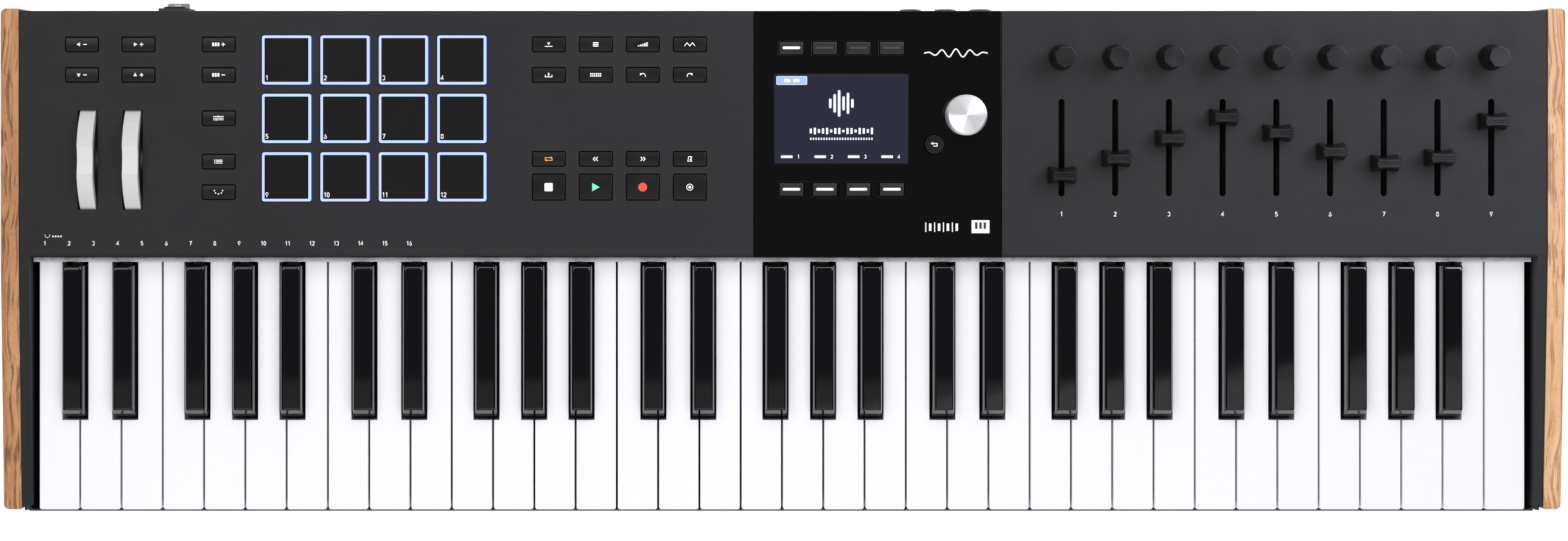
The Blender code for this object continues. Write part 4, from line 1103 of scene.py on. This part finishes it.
def sign_save(pen):
    pen.line([(-1.9, 0.0), (-1.9, -1.1), (1.9, -1.1), (1.9, 0.0)], 0.4)
    pen.bar(0, 0.75, 0.42, 1.1)
    triangle(pen, 0, 0.1, 0.85, 270)


def sign_grid(pen):
    for i in range(6):
        for j in range(2):
            pen.bar(-2.75 + 1.1 * i, 0.6 * (2 * j - 1), 0.7, 0.8)


def sign_turn(way):
    """An arrow bent to the left (way -1) or to the right (way 1)."""
    start, stop, tip = (-20, 140, 240) if way < 0 else (200, 40, -60)

    def draw(pen):
        path = bow(0.0, -0.6, 1.45, 1.45, start, stop, 14)
        pen.line(path, 0.42)
        triangle(pen, *path[-1], 0.85, tip)

    return draw


def sign_loop(pen):
    pen.line([(-2.0, -0.25), (-2.0, 0.75), (1.1, 0.75)], 0.36)
    triangle(pen, 1.5, 0.75, 0.75, 0)
    pen.line([(2.0, 0.25), (2.0, -0.75), (-1.1, -0.75)], 0.36)
    triangle(pen, -1.5, -0.75, 0.75, 180)


def sign_chevrons(way):
    def draw(pen):
        for shift in (-0.75, 0.75):
            x = shift + way * 0.1
            pen.line([(x - way * 0.5, 1.15), (x + way * 0.5, 0.0), (x - way * 0.5, -1.15)], 0.5)

    return draw


def sign_metronome(pen):
    pen.line([(-1.15, -1.25), (-0.55, 1.35), (0.55, 1.35), (1.15, -1.25)], 0.36, closed=True)
    pen.line([(-0.05, -0.75), (1.35, 1.35)], 0.34)


def sign_stop(pen):
    pen.bar(0, 0, 4.6, 4.6, 0.5)


def sign_play(pen):
    pen.shape([(-2.0, -2.35), (2.35, 0.0), (-2.0, 2.35)])


def sign_record(pen):
    pen.disc(0, 0, 2.5)


def sign_tap(pen):
    pen.disc(0, 0, 0.85)
    pen.hoop(1.75, 0.36)


def sign_back(pen):
    pen.line([(-0.9, 0.55), (1.5, 0.55), (1.5, -0.95), (-0.6, -0.95)], 0.42)
    triangle(pen, -1.25, 0.55, 0.95, 180)


LAMPS = {sign_loop: LAMP_ORANGE, sign_play: LAMP_MINT, sign_record: LAMP_RED}


def make_cap(name, place, size, top, finish, body, replaces=()):
    """A cap whose top bows gently from its front to its rear."""
    half = (size[0] / 2 - SLOT_GAP, size[1] / 2 - SLOT_GAP)
    outline = [(place[1] - half[1], CARRIER[1] - 0.0002), (place[1] + half[1], CARRIER[1] - 0.0002)]
    outline += [(place[1] + half[1] * t / 6, top - CAP_CROWN * (t / 6) ** 2) for t in range(6, -7, -1)]
    cap = new(side_prism, outline, place[0] - half[0], place[0] + half[0])
    soften(cap, 0.00045, 3)
    piece(name, cap, finish, body, replaces, smooth=45)


def make_sign(name, place, draw, finish, body, top=BUTTON_TOP):
    pen = Pen(place, top)
    draw(pen)
    pen.done(name, finish, body)


def make_button(name, place, size, draw, body, first):
    """A cap with its lit sign; the first of a group stands for the group's CAD node."""
    make_cap(name, place, size, BUTTON_TOP, CAP, body, [body] if first else ())
    make_sign(f"{name}_sign", place, draw, LAMPS.get(draw, LAMP), body)


def make_carrier(name, lines, body):
    """The moulding that a group of caps stands on."""
    piece(name, new(plate, lines, *CARRIER, 0.0002), CAP, body)


def make_button_rows(kind, rows, carrier):
    """Rows of four caps on their moulding; each row has its place, its caps' size and their signs."""
    body = f"{kind}_buttons"
    for row, (y, size, signs) in enumerate(rows):
        for column, (x, draw) in enumerate(zip(CENTRE_COLUMNS, signs)):
            name = f"{kind}_cap_{4 * row + column + 1}"
            make_button(name, (x, y), size, draw, body, row == column == 0)
    make_carrier(f"{kind}_carrier", [oblong(*carrier, 0.001)], body)


def make_left_buttons():
    body = "left_buttons"
    places = [(x, y) for x in LEFT_COLUMNS for y in UPPER_ROWS] + [(SIDE_COLUMN, y) for y in SIDE_ROWS]
    signs = [sign_step(180, False), sign_step(270, False), sign_step(0, True), sign_step(90, True)]
    signs += [sign_bank(True), sign_bank(False), sign_settings, sign_list, sign_dots]
    for index, (place, draw) in enumerate(zip(places, signs)):
        make_button(f"left_cap_{index + 1}", place, BUTTON_SIZE, draw, body, index == 0)
    left, middle, right = -0.4075, -0.3300, -0.3075
    corners = [(left, 0.0980), (middle, 0.0980), (middle, 0.0320)]
    corners += [(right, 0.0320), (right, 0.1270), (left, 0.1270)]
    make_carrier("left_carrier", [lambda inset: corners], body)


def make_centre_buttons():
    middle_x = sum(CENTRE_COLUMNS) / 4
    upper, lower = UPPER_ROWS
    rows = [(upper, BUTTON_SIZE, (sign_hold, sign_chord, sign_scale, sign_arp))]
    rows.append((lower, BUTTON_SIZE, (sign_save, sign_grid, sign_turn(-1), sign_turn(1))))
    make_button_rows("function", rows, ((middle_x, (upper + lower) / 2), (0.1025, 0.0290)))
    rows = [(TRANSPORT_ROW, BUTTON_SIZE, (sign_loop, sign_chevrons(-1), sign_chevrons(1), sign_metronome))]
    rows.append((TALL_ROW, TALL_BUTTON_SIZE, (sign_stop, sign_play, sign_record, sign_tap)))
    make_button_rows("transport", rows, ((middle_x, 0.0470), (0.1025, 0.0320)))


def make_screen_buttons():
    """Caps above and below the display, each with a small window, lit in all but three."""
    body = "screen_buttons"
    for row, y in enumerate(SCREEN_ROWS):
        for column, x in enumerate(SCREEN_COLUMNS):
            name = f"screen_cap_{4 * row + column + 1}"
            stands_for = [body] if row == column == 0 else ()
            make_cap(name, (x, y), SCREEN_BUTTON_SIZE, SCREEN_BUTTON_TOP, SCREEN_CAP, body, stands_for)
            pen = Pen((x, y), SCREEN_BUTTON_TOP)
            pen.bar(0, 0.1, 9.8, 1.35, 0.6)
            pen.done(f"{name}_window", LAMP_BAR if row or not column else LAMP_DIM, body)
    outline = oblong((0.03225, 0.0795), (0.0915, 0.0930), 0.001)
    window = oblong((0.0326, 0.0790), (0.0832, 0.0590), 0.001, 1)
    make_carrier("screen_carrier", [outline, window], body)


def make_back_button():
    top = PANEL_TOP + 0.0006
    profile = [(0.0065, 0.0490), (0.0065, 0.0505), (BACK_RADIUS, 0.0506), (BACK_RADIUS, top)]
    profile += [(BACK_RADIUS - inset, top + rise) for inset, rise in quarter_round(0.0006)[1:]]
    profile += [(0.0035, top + 0.00055), (0.0015, top + 0.00050)]
    piece("back_cap", new(turned, BACK_MIDDLE, profile), CAP, "back_button", ["back_button"], smooth=45)
    make_sign("back_cap_sign", BACK_MIDDLE, sign_back, LAMP, "back_button", PANEL_TOP + 0.0012)


def make_pads():
    """Each pad has a lit skirt in its hole, a lit border and a dark face."""
    body = "pad_mat"
    size = (PAD_HOLE - 2 * SLOT_GAP,) * 2
    border = (size[0] - 0.0001,) * 2
    face = (size[0] - 2 * PAD_BORDER,) * 2
    for row, y in enumerate(PAD_ROWS):
        for column, x in enumerate(PAD_COLUMNS):
            count = 4 * row + column + 1
            name = f"pad_{count:02d}"
            skirt = new(block, (x, y), size, 0.0013, PAD_SHEET[1] - 0.0001, PANEL_TOP + 0.0002, 0.0001)
            piece(f"{name}_skirt", skirt, PAD_SKIRT, body)
            edging = new(block, (x, y), border, 0.0013, PANEL_TOP + 0.0001, PAD_TOP - 0.0001, 0.0006)
            piece(f"{name}_border", edging, PAD_LIGHT, body)
            cover = new(block, (x, y), face, 0.0006, PANEL_TOP + 0.0002, PAD_TOP, 0.0003)
            piece(f"{name}_face", cover, PAD, body, [body] if count == 1 else (), smooth=45)
            place = (x - (0.0110 if count < 10 else 0.0103), y - 0.0101)
            number(f"{name}_number", str(count), place, 0.0027, PAD_TOP, INK, body)
    middle = (sum(PAD_COLUMNS) / 4, PAD_ROWS[1])
    sheet = new(plate, [oblong(middle, (0.1338, 0.1009), 0.001)], *PAD_SHEET, 0.0002)
    piece("pad_mat_sheet", sheet, PAD, body)


# Wheels


def rim_radius(angle):
    """The rim's radius at an angle in degrees from straight up: ribbed ends and a smooth finger notch."""
    from_notch = abs(angle) - WHEEL_NOTCH_HALF_ANGLE
    if from_notch < 0:
        return WHEEL_RADIUS - WHEEL_NOTCH_DEPTH * math.cos(math.pi / 2 * angle / WHEEL_NOTCH_HALF_ANGLE) ** 0.8
    wave = 0.5 - 0.5 * math.cos(2 * math.pi * from_notch / RIB_PITCH)
    return WHEEL_RADIUS - RIB_DEPTH * wave


def make_wheel(name, middle):
    """A ribbed rim over an arc, the web below it, and a hub with its axle's ends."""
    half, edge = WHEEL_HALF_WIDTH, 0.0005
    inner = WHEEL_RADIUS - 0.005
    rings = []
    steps = 12 * WHEEL_HALF_ANGLE
    for i in range(steps + 1):
        angle = -WHEEL_HALF_ANGLE + 2 * WHEEL_HALF_ANGLE * i / steps
        outer = rim_radius(angle)
        section = [(-half, inner), (half, inner)]
        section += [(half - inset, outer - edge + rise) for inset, rise in quarter_round(edge)]
        section += [(inset - half, outer - edge + rise) for inset, rise in reversed(quarter_round(edge))]
        sine, cosine = math.sin(math.radians(angle)), math.cos(math.radians(angle))
        rings.append([(middle + x, WHEEL_Y + r * sine, WHEEL_Z + r * cosine) for x, r in section])
    piece(f"{name}_rim", new(loft, rings), WHEEL, name, [name], smooth=28)
    web = [(WHEEL_Y, WHEEL_Z - 0.002)]
    for i in range(41):
        angle = math.radians(84 - 4.2 * i)
        web.append((WHEEL_Y + (inner + 0.001) * math.sin(angle), WHEEL_Z + (inner + 0.001) * math.cos(angle)))
    piece(f"{name}_web", new(side_prism, web, middle - 0.0015, middle + 0.0015), WHEEL, name)
    axle, hub = 0.0025, 0.0055
    profile = [(axle, -half - 0.0022), (axle, -half), (hub, -half)]
    bm = new(turned, (0, 0), profile + [(radius, -z) for radius, z in reversed(profile)], 32)
    turn = Matrix.Translation((middle, WHEEL_Y, WHEEL_Z)) @ Matrix.Rotation(math.pi / 2, 4, "Y")
    bmesh.ops.transform(bm, matrix=turn, verts=bm.verts)
    piece(f"{name}_hub", bm, WHEEL, name)


# Knobs, faders and encoder


def seven_sided(middle, z, round_radius, blend, turn, points=126):
    """A ring between a circle (blend 0) and a heptagon with eased corners (blend 1)."""
    ring_points = []
    sector = 2 * math.pi / 7
    for i in range(points):
        angle = 2 * math.pi * i / points
        inside = (angle + sector / 2) % sector - sector / 2
        flat = round_radius * math.cos(sector / 2) / math.cos(inside - math.copysign(sector / 2, inside))
        eased = (flat**-40 + (0.985 * round_radius) ** -40) ** (-1 / 40)
        radius = (1 - blend) * round_radius + blend * eased
        around = angle + turn
        ring_points.append((middle[0] + radius * math.cos(around), middle[1] + radius * math.sin(around), z))
    return ring_points


def make_knob(index, x):
    """A skirt, and above it a grip that narrows to seven sides."""
    middle, name = (x, KNOB_Y), f"knob_{index + 1}"
    turn = math.radians(KNOB_TURNS[index])
    base, rim = PANEL_TOP + 0.0006, KNOB_TOP - 0.0004
    levels = [(0.0405, 0.0026, 0.0), (base - 0.0001, 0.0026, 0.0), (base, 0.0069, 0.0)]
    levels += [(base + 0.0002, 0.0072, 0.0), (base + 0.0012, 0.0072, 0.0), (base + 0.0020, 0.0070, 0.0)]
    levels += [(base + 0.0024, 0.00675, 0.15), (base + 0.0070, 0.00655, 0.75), (base + 0.0110, 0.0064, 1.0)]
    levels.append((rim, 0.0063, 1.0))
    levels += [(rim + rise, 0.0063 - inset, 1.0) for inset, rise in quarter_round(0.0004)[1:]]
    rings = [seven_sided(middle, z, radius, blend, turn) for z, radius, blend in levels]
    piece(f"{name}_cap", new(loft, rings), KNOB, name, [name], smooth=24)


def waisted(middle, half, waist, corner, z):
    """A ring like a bone: a rectangle with eased corners whose long sides bend in."""
    corners = rounded((0, 0), half, corner, 3)
    full = []
    for i, (x, y) in enumerate(corners):
        full.append((x, y))
        if i in (3, 11):
            following = corners[i + 1][0]
            full += [(x + (following - x) * step / 12, y) for step in range(1, 12)]
    made = []
    for x, y in full:
        pinch = waist * (0.5 + 0.5 * math.cos(math.pi * min(1.0, abs(x) / (half[0] - corner))))
        made.append((middle[0] + x, middle[1] + y - math.copysign(pinch, y), z))
    return made


def make_fader(index, x):
    """A waisted cap with two ridges across its top, on a flat stem."""
    name, y = f"fader_{index + 1}", FADER_YS[index]
    base, top = PANEL_TOP + 0.0010, FADER_TOP
    levels = [(base, 0.0076, 0.0044, 0.0006), (base + 0.0003, 0.0080, 0.00485, 0.0009)]
    levels += [(base + 0.0018, 0.0079, 0.0046, 0.0009), (base + 0.0050, 0.0073, 0.0037, 0.0008)]
    levels += [(base + 0.0090, 0.0070, 0.0031, 0.0006), (top - 0.0010, 0.0068, 0.0029, 0.0004)]
    levels += [(top - 0.0006, 0.0066, 0.0027, 0.0004)]
    cap = new(loft, [waisted((x, y), (a, b), waist, 0.0007, z) for z, a, b, waist in levels])
    for side in (-1, 1):
        rings = []
        for z, inset in ((top - 0.0008, 0.0), (top - 0.0003, 0.00005), (top, 0.0004)):
            half = (0.0064 - inset, 0.00095 - inset * 0.8)
            rings.append(level(rounded((x, y + side * 0.00145), half, 0.0004), z))
        loft(cap, rings)
    box(cap, (x - 0.0009, y - 0.0030, 0.0420), (x + 0.0009, y + 0.0030, base + 0.0001))
    piece(f"{name}_cap", cap, KNOB, name, [name], smooth=30)


def make_encoder():
    """A dark skirt and a spun cap with a hollowed top."""
    base, radius, top = PANEL_TOP + 0.0006, ENCODER_RADIUS, ENCODER_TOP
    profile = [(0.0032, 0.0405), (0.0032, base), (radius - 0.0004, base), (radius - 0.0001, base + 0.0003)]
    profile += [(radius - 0.0001, base + 0.0016), (radius - 0.0005, base + 0.0020)]
    piece("main_encoder_skirt", new(turned, ENCODER_MIDDLE, profile, 96), KNOB, "main_encoder")
    profile = [(radius - 0.0006, base + 0.0018), (radius, base + 0.0021), (radius, top - 0.0012)]
    profile += [(radius - 0.0001, top - 0.0010), (radius - 0.0010, top - 0.0001), (radius - 0.00115, top)]
    rest = top - 0.00006
    profile += [(radius - 0.0014, rest)]
    profile += [(radius * share, rest - 0.00025 * (1 - share * share)) for share in (0.8, 0.6, 0.4, 0.2, 0.03)]
    cap = new(turned, ENCODER_MIDDLE, profile, 128)
    piece("main_encoder_cap", cap, SPUN, "main_encoder", ["main_encoder"], smooth=20)


# Display


def make_display():
    """The module, its lit face, and the generic picture on it."""
    top, face = PANEL_TOP - PANEL_THICKNESS - 0.0004, PANEL_TOP - 0.0002
    body = new(plate, [oblong(DISPLAY_MIDDLE, DISPLAY_BODY, 0.001)], 0.0495, top, 0.0003)
    piece("display_body", body, FRAME, replaces=["display_module"])
    shown = (DISPLAY_SIZE[0] - 2 * SLOT_GAP, DISPLAY_SIZE[1] - 2 * SLOT_GAP)
    piece("display_face", new(block, DISPLAY_MIDDLE, shown, 0.0004, 0.0520, face, 0.0002), SCREEN)
    chip_x, chip_y = -28.0, 21.6
    pen = Pen(DISPLAY_MIDDLE, face)
    pen.bar(chip_x, chip_y, 17.4, 4.9, 0.7)
    pen.done("display_chip", SCREEN_BLUE)
    pen = Pen(DISPLAY_MIDDLE, face + PRINT)
    pen.line(rounded((chip_x, chip_y), (8.6, 2.35), 0.6), 0.22, closed=True)
    pen.done("display_chip_edge", SCREEN_WHITE)
    pen = Pen(DISPLAY_MIDDLE, face + PRINT)
    for side in (-1, 1):
        pen.bar(chip_x + 2.6 * side, chip_y, 3.6, 1.7, 0.3)
    pen.done("display_chip_sign", SCREEN_WHITE)
    pen = Pen(DISPLAY_MIDDLE, face)
    for i, height in enumerate((5.5, 10.5, 15.0, 8.0, 12.0, 5.0)):
        pen.bar(-6.25 + 2.5 * i, 8.7, 1.5, height, 0.7)
    pen.done("display_emblem", SCREEN_WHITE)
    pen = Pen(DISPLAY_MIDDLE, face)
    for i in range(16):
        pen.bar(-17.25 + 2.3 * i, -6.9, 1.3, 1.4 + 2.4 * abs(math.sin(1.1 * i + 0.6)), 0.3)
    for i in range(24):
        pen.bar(-17.25 + 1.5 * i, -11.3, 0.8, 1.3, 0.1)
    pen.done("display_meter", SCREEN_WHITE)
    y = DISPLAY_MIDDLE[1] - 0.0214
    for index, x in enumerate(SCREEN_COLUMNS):
        pen = Pen((x, y), face)
        pen.bar(-2.6, 0, 6.6, 1.5, 0.3)
        pen.done(f"display_label_{index + 1}", SCREEN_WHITE)
        number(f"display_number_{index + 1}", str(index + 1), (x + 0.0040, y), 0.0022, face, SCREEN_WHITE)


# Printed signs on the panels


def make_print():
    for index in range(16):
        x = KEYS_LEFT + (index + 0.45) * OCTAVE_WIDTH / 12
        number(f"channel_number_{index + 1:02d}", str(index + 1), (x, 0.0089), 0.0024, PANEL_TOP, INK)
    for index, x in enumerate(CHANNEL_XS):
        number(f"fader_number_{index + 1}", str(index + 1), (x, 0.0254), 0.0026, PANEL_TOP, INK)
    pen = Pen((-0.4124, 0.0128), PANEL_TOP)
    pen.dots(bow(-3.0, 0.7, 1.35, 1.35, 180, 360, 4), 0.30)
    for i in range(4):
        pen.bar(0.2 + 1.5 * i, 0, 0.9, 0.9)
    pen.done("channel_sign", INK)
    pen = Pen((0.0975, 0.1162), PANEL_TOP)
    turns = [math.pi * i / 72 for i in range(73)]
    pen.line([(36 * (turn / math.pi - 0.5), 2.3 * math.sin(9 * turn) * math.sin(turn)) for turn in turns], 0.8)
    pen.done("wave_sign", INK)
    pen = Pen((0.0895, 0.0180), PANEL_TOP)
    for i in range(8):
        pen.bar(-9.0 + 2.5 * i, 0, 1.5 if i % 2 else 0.7, 4.2 if i % 2 else 5.4)
    pen.done("key_sign", INK)
    pen = Pen((0.1114, 0.0183), PANEL_TOP)
    pen.bar(0, 0, 10.2, 7.4, 0.4)
    pen.done("label_box", INK)
    pen = Pen((0.1114, 0.0183), PANEL_TOP + PRINT)
    for i in (-1, 0, 1):
        pen.bar(2.4 * i, 0.6, 1.3, 3.6)
    pen.done("label_box_sign", DARK_INK)


# Rear


def make_switch():
    """The rocker, pressed at one end, with a bar on its upper half and a ring on its lower one."""
    across, half_height = SWITCH_HALF
    ridge, dip, back = 0.0030, 0.0016, 0.0045
    outline = [(dip, 0.0), (ridge, half_height), (-0.0010, half_height), (-back, 0.0035)]
    outline += [(-back, -0.0035), (-0.0010, -half_height), (ridge, -half_height)]
    lean = math.radians(SWITCH_LEAN)
    sine, cosine = math.sin(lean), math.cos(lean)
    points = [(SWITCH_PIVOT_Y + y * cosine - z * sine, SWITCH_Z + y * sine + z * cosine) for y, z in outline]
    rocker = new(side_prism, points, SWITCH_X - across, SWITCH_X + across)
    soften(rocker, 0.0004, 3)
    piece("power_rocker", rocker, CAP, "power_switch", ["power_switch"])
    slope = math.atan2(ridge - dip, half_height)
    for name, side in (("bar", 1), ("ring", -1)):
        pen = Pen((0, 0), 0.0)
        if name == "bar":
            pen.bar(0, 0, 0.6, 3.4)
        else:
            pen.hoop(1.5, 0.5)
        y, z = (ridge + dip) / 2, side * half_height / 2
        place = (SWITCH_X, SWITCH_PIVOT_Y + y * cosine - z * sine, SWITCH_Z + y * sine + z * cosine)
        turn = Matrix.Rotation(lean - side * slope, 4, "X") @ Matrix.Rotation(-math.pi / 2, 4, "X")
        bmesh.ops.transform(pen.bm, matrix=Matrix.Translation(place) @ turn, verts=pen.bm.verts)
        pen.done(f"power_rocker_{name}", INK, "power_switch")


def make_jacks():
    """The jack board with three sockets, each with a collar and a nut on the rear wall."""
    sheet = new(plate, [oblong((JACK_XS[1], 0.1185), (0.062, 0.037), 0.001)], 0.0180, 0.0196, 0.0002)
    piece("jack_board_sheet", sheet, BOARD, replaces=["jack_board"])
    body = oblong((0, 0), (0.0150, 0.0174), 0.0006)
    bore = round_line((0, 0), JACK_BORE_RADIUS, 1)
    corners = circle((0, 0), NUT_RADIUS, 6)

    def nut(inset):
        return [(a * (1 - inset / NUT_RADIUS), b * (1 - inset / NUT_RADIUS)) for a, b in corners]

    for index, x in enumerate(JACK_XS):
        name = f"jack_{index + 1}"
        rear_piece(f"{name}_body", [body, bore], (x, 0.1060, JACK_Z - 0.0012), 0.0315, 0.0003, FRAME)
        collar = [round_line((0, 0), COLLAR_RADIUS), bore]
        rear_piece(f"{name}_barrel", collar, (x, 0.1365, JACK_Z), 0.0052, 0.0003, STEEL)
        lines = [nut, round_line((0, 0), COLLAR_RADIUS + 0.00005, 1)]
        rear_piece(f"{name}_nut", lines, (x, REAR_Y + GAP, JACK_Z), 0.0012, 0.0002, STEEL)


def make_ports():
    """The main board with its DC, USB and five-pin sockets."""
    bottom, top = MAIN_BOARD
    sheet = new(plate, [oblong((-0.1450, 0.1180), (0.3700, 0.0380), 0.001)], bottom, top, 0.0002)
    piece("main_board_sheet", sheet, BOARD, replaces=["main_board"])
    for name, x, y, side in (("large", -0.1620, 0.1130, 0.0160), ("small", -0.1140, 0.1110, 0.0120)):
        chip = new(block, (x, y), (side, side), 0.0003, top, top + 0.0012, 0.0002)
        piece(f"main_board_{name}_chip", chip, FRAME)
    start = REAR_Y + 0.0004 - PORT_DEPTH
    square = oblong((0, 0), (0.0190, 0.0190), 0.0012)
    pins = [round_line(place, 0.0010, 1, 16) for place in bow(0, -0.0010, 0.0045, -0.0045, 180, 360, 4)]
    inner = PORT_DEPTH - RIM_DEPTH
    for index, (x, z) in enumerate(DIN_PORTS):
        rear_piece(f"din_{index + 1}_body", [square, *pins], (x, start, z), inner, 0.0002, FRAME)
        rim = [square, round_line((0, 0), 0.0075, 1, 48)]
        rear_piece(f"din_{index + 1}_rim", rim, (x, start + inner, z), RIM_DEPTH, 0.0002, FRAME)
    x, z = DC_PORT
    lines = [oblong((0, 0), (0.0100, 0.0110), 0.0010), round_line((0, 0), 0.0032, 1)]
    rear_piece("dc_socket_body", lines, (x, start, z), PORT_DEPTH, 0.0003, FRAME)
    profile = ((0.0010, 0), (0.0010, PORT_DEPTH - 0.0020), (0.0006, PORT_DEPTH - 0.0014))
    pin = new(turned, (0, 0), profile, 24)
    face_rear(pin, x, start, z)
    piece("dc_socket_pin", pin, NICKEL)
    x, z = USB_PORT
    lines = [oblong((0, 0), (0.0100, 0.0050), 0.0020), oblong((0, 0), (0.0090, 0.0040), 0.0016, 1)]
    rear_piece("usb_socket_shell", lines, (x, start, z), PORT_DEPTH, 0.0002, NICKEL)
    tongue = new(block, (0, 0), (0.0066, 0.0008), 0.0002, 0, PORT_DEPTH - 0.0010, 0.0002)
    face_rear(tongue, x, start, z)
    piece("usb_socket_tongue", tongue, FRAME)


def make_floor():
    bm = bmesh.new()
    bmesh.ops.create_grid(bm, x_segments=1, y_segments=1, size=6.0)
    mesh = bpy.data.meshes.new("floor")
    bm.to_mesh(mesh)
    bm.free()
    paper, _, shader = plain("floor_paper", (0.93, 0.93, 0.93), 0.9, specular=0.1)
    shader.inputs["Emission Color"].default_value = (1, 1, 1, 1)
    shader.inputs["Emission Strength"].default_value = 0.5
    mesh.materials.append(paper)
    made = bpy.data.objects.new("floor", mesh)
    bpy.context.scene.collection.objects.link(made)


make_camera()
make_lighting()
make_floor()
make_top_panel()
make_centre_panel()
make_cheek("left", -1, SHADED_LEFT_WOOD)
make_cheek("right", 1, LIT_RIGHT_WOOD)
make_case()
make_felt()
make_keys()
make_left_buttons()
make_centre_buttons()
make_screen_buttons()
make_back_button()
make_pads()
for wheel, wheel_middle in WHEEL_MIDDLES.items():
    make_wheel(wheel, wheel_middle)
for channel, channel_x in enumerate(CHANNEL_XS):
    make_knob(channel, channel_x)
    make_fader(channel, channel_x)
make_encoder()
make_display()
make_print()
make_switch()
make_jacks()
make_ports()
dress("key_frame", FRAME)
dress("key_contact_board", BOARD)
dress("control_board", BLACK_BOARD, 0.0002)
dress("wheel_box", FRAME)
